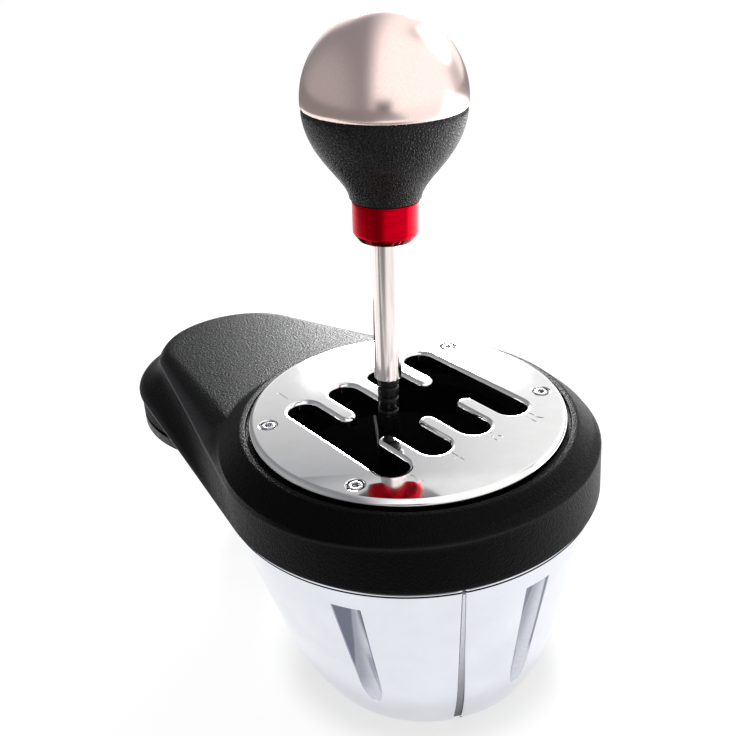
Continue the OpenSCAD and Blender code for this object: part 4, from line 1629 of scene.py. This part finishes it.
@dataclass
class Studio:
    """Pale floor, soft light and the camera at the photograph's angle; lengths in metres."""

    eye: tuple[float, float, float] = (-0.1905, -0.2258, 0.2776)
    azimuth: float = -37.73
    elevation: float = 28.53
    roll: float = -0.0521
    lens: float = 49.338
    sensor: float = 36.0
    floor_half: float = 6.0
    floor_greys: tuple[Field, ...] = (
        Field(((NEAR, 0.14, 0.36), (RIGHT, 0.0, -0.2))),
        Field(((NEAR, 0.12, 0.15), (NEAR, 0.26, 0.22), (RIGHT, 0.2, 0.05))),
        Field(((NEAR, 0.6, 0.8), (RIGHT, -0.5, -0.3), (RIGHT, 0.5, 0.3))),
        Field(((RIGHT, -0.42, -0.58),)),
        Field(((NEAR, -0.5, -0.8),)))
    floor_patch: Field = Field(((RIGHT, 0.15, 0.27), (NEAR, 0.15, 0.05)))
    # Painted contact shadow round the bowl's foot: its middle, where it fades out, and how far it dims the
    # glow (shadow)
    foot_at: tuple[float, float, float] = (0.0, -0.006, 0.0)
    contact: tuple[float, float] = (0.044, 0.06)
    paper: float = 0.12
    paper_grey: float = 0.25
    glow: float = 0.9
    patch: float = 3.6
    shadow: float = 0.8
    right_wall: Field = Field(((RIGHT_NEAR, -0.3, 0.1),))
    right_corner: Field = Field(((RIGHT, 0.3, 0.5), (NEAR, -0.1, -0.4)))
    corner_dim: float = 0.6
    back_wall: Field = Field(((UP, 0.65, 0.38), (NEAR, -0.4, -0.8), (RIGHT, -0.42, -0.16)))
    near_half: Field = Field(((NEAR, -0.5, 0.0),))
    far_left: Field = Field(((RIGHT, -0.45, -0.95),))
    window_at: Field = Field(((RIGHT, 0.4, 0.55), (RIGHT, 0.95, 0.8), (UP, 0.25, 0.4), (UP, 0.75, 0.6),
                              (NEAR, -0.2, -0.45)))
    stand: Field = Field(((RIGHT, -0.35, -0.12), (RIGHT, 0.22, 0.04), (NEAR, 0.5, 0.7), (UP, 0.3, 0.05)))
    grey: tuple[float, float, float, float] = (0.26, 0.265, 0.285, 1.0)
    pale: tuple[float, float, float, float] = (0.4, 0.405, 0.42, 1.0)
    white: tuple[float, float, float, float] = (1.1, 1.1, 1.1, 1.0)
    bright: tuple[float, float, float, float] = (1.18, 1.18, 1.18, 1.0)
    window: tuple[float, float, float, float] = (4.5, 4.5, 4.5, 1.0)
    dark: tuple[float, float, float, float] = (0.06, 0.06, 0.06, 1.0)
    lamp_at: tuple[float, float, float] = (0.36, 0.412, 0.27)
    lamp_aim: tuple[float, float, float] = (0.0, 0.02, 0.1)
    lamp_size: float = 0.2
    lamp_power: float = 7.0

    def camera(self) -> None:
        """Puts up the camera."""
        az, el = math.radians(self.azimuth), math.radians(self.elevation)
        back = Vector((math.sin(az) * math.cos(el), -math.cos(az) * math.cos(el), math.sin(el)))
        level = Vector((math.cos(az), math.sin(az), 0.0))
        rise = back.cross(level)
        right = level * math.cos(self.roll) + rise * math.sin(self.roll)
        up = rise * math.cos(self.roll) - level * math.sin(self.roll)
        data = bpy.data.cameras.new("camera")
        data.lens, data.sensor_width, data.sensor_height = self.lens, self.sensor, self.sensor
        data.clip_start, data.clip_end = 0.01, 50.0
        eye = bpy.data.objects.new("camera", data)
        bpy.context.collection.objects.link(eye)
        turn = Matrix((right, up, back)).transposed().to_4x4()
        eye.matrix_world = Matrix.Translation(self.eye) @ turn
        bpy.context.scene.camera = eye

    def floor(self) -> None:
        """Lays a plain white table with a painted contact shadow round the bowl's foot; only the shiny pieces
        see its grey fields and its bright patch.
        """
        bpy.ops.object.select_all(action="DESELECT")
        bpy.ops.mesh.primitive_plane_add(size=2 * self.floor_half)
        floor = settle("studio_floor")
        material = bpy.data.materials.new("backlit white acrylic")
        material.use_nodes = True
        tree = material.node_tree
        tree.nodes.clear()
        place = add_node(tree, "ShaderNodeTexCoord").outputs["Object"]
        grey: float | bpy.types.NodeSocket = 0.0
        for field in self.floor_greys:
            grey = add_node(tree, "ShaderNodeMath", {0: grey, 1: field.mask(tree, place)},
                            operation="MAXIMUM").outputs[0]
        lit = self.floor_patch.mask(tree, place)
        seen = add_node(tree, "ShaderNodeLightPath").outputs["Is Camera Ray"]
        hidden = add_node(tree, "ShaderNodeMath", {0: 1.0, 1: seen}, operation="SUBTRACT").outputs[0]
        grey, lit = [add_node(tree, "ShaderNodeMath", {0: share, 1: hidden}, operation="MULTIPLY").outputs[0]
                     for share in (grey, lit)]
        colour = add_node(tree, "ShaderNodeMapRange",
                          {"Value": grey, "To Min": self.paper, "To Max": self.paper_grey})
        glow = add_node(tree, "ShaderNodeMapRange", {"Value": lit, "To Min": self.glow, "To Max": self.patch})
        glow = add_node(tree, "ShaderNodeMix", {0: grey, 2: glow.outputs[0], 3: 0.0})
        # Painted contact shadow: the glow dims round the bowl's foot
        away = add_node(tree, "ShaderNodeVectorMath", {0: place, 1: self.foot_at}, operation="DISTANCE")
        clear = add_node(tree, "ShaderNodeMapRange",
                         {"Value": away.outputs["Value"], "From Min": self.contact[0],
                          "From Max": self.contact[1], "To Min": self.shadow, "To Max": 1.0},
                         interpolation_type="SMOOTHSTEP")
        glow = add_node(tree, "ShaderNodeMath", {0: glow.outputs[0], 1: clear.outputs[0]},
                        operation="MULTIPLY")
        shader = add_node(tree, "ShaderNodeBsdfPrincipled",
                          {"Base Color": colour.outputs[0], "Roughness": 0.9, "Specular IOR Level": 0.1,
                           "Emission Color": (1.0, 1.0, 1.0, 1.0), "Emission Strength": glow.outputs[0]})
        add_node(tree, "ShaderNodeOutputMaterial", {"Surface": shader.outputs[0]})
        floor.data.materials.append(material)

    def world(self) -> None:
        """Lights the room: white right and low behind, with a window, else grey; plain to the camera."""
        world = bpy.data.worlds.new("studio")
        world.use_nodes = True
        tree = world.node_tree
        tree.nodes.clear()
        way = add_node(tree, "ShaderNodeTexCoord").outputs["Generated"]
        right = add_node(tree, "ShaderNodeMath",
                         {0: self.right_corner.mask(tree, way), 1: -self.corner_dim,
                          2: self.right_wall.mask(tree, way)}, operation="MULTIPLY_ADD")
        walls = add_node(tree, "ShaderNodeMath", {0: right.outputs[0], 1: self.back_wall.mask(tree, way)},
                         operation="MAXIMUM").outputs[0]
        full = add_node(tree, "ShaderNodeMix",
                        {0: self.near_half.mask(tree, way), 6: self.white, 7: self.bright},
                        data_type="RGBA").outputs[2]
        seen = add_node(tree, "ShaderNodeLightPath").outputs["Is Camera Ray"]
        light: tuple[float, ...] | bpy.types.NodeSocket = self.grey
        for share, level in ((self.far_left.mask(tree, way), self.pale), (walls, full),
                             (self.window_at.mask(tree, way), self.window),
                             (self.stand.mask(tree, way), self.dark), (seen, self.white)):
            light = add_node(tree, "ShaderNodeMix", {0: share, 6: light, 7: level},
                             data_type="RGBA").outputs[2]
        shade = add_node(tree, "ShaderNodeBackground", {"Color": light, "Strength": 1.0})
        add_node(tree, "ShaderNodeOutputWorld", {"Surface": shade.outputs[0]})
        bpy.context.scene.world = world

    def lamp(self) -> None:
        """Hangs a square soft light behind, facing the object."""
        data = bpy.data.lights.new("back strip", "AREA")
        data.size, data.energy = self.lamp_size, self.lamp_power
        light = bpy.data.objects.new("back strip", data)
        bpy.context.collection.objects.link(light)
        light.location = self.lamp_at
        aim = Vector(self.lamp_aim) - light.location
        light.rotation_euler = aim.to_track_quat("-Z", "Y").to_euler()

    def build(self) -> None:
        """Puts the studio up."""
        self.camera()
        self.floor()
        self.world()
        self.lamp()
        bpy.context.scene.view_settings.view_transform = "Standard"


def main() -> None:
    """Builds the sub-assemblies in order."""
    logging.basicConfig(level=logging.INFO, format="%(name)s: %(message)s")
    Works().dress()
    for assembly in (TopCover(), Bowl(), Gate(), Lever(), TailClamp(), Foot(), Studio()):
        LOG.info("building %s", type(assembly).__name__)
        assembly.build()


if __name__ == "__main__":
    main()
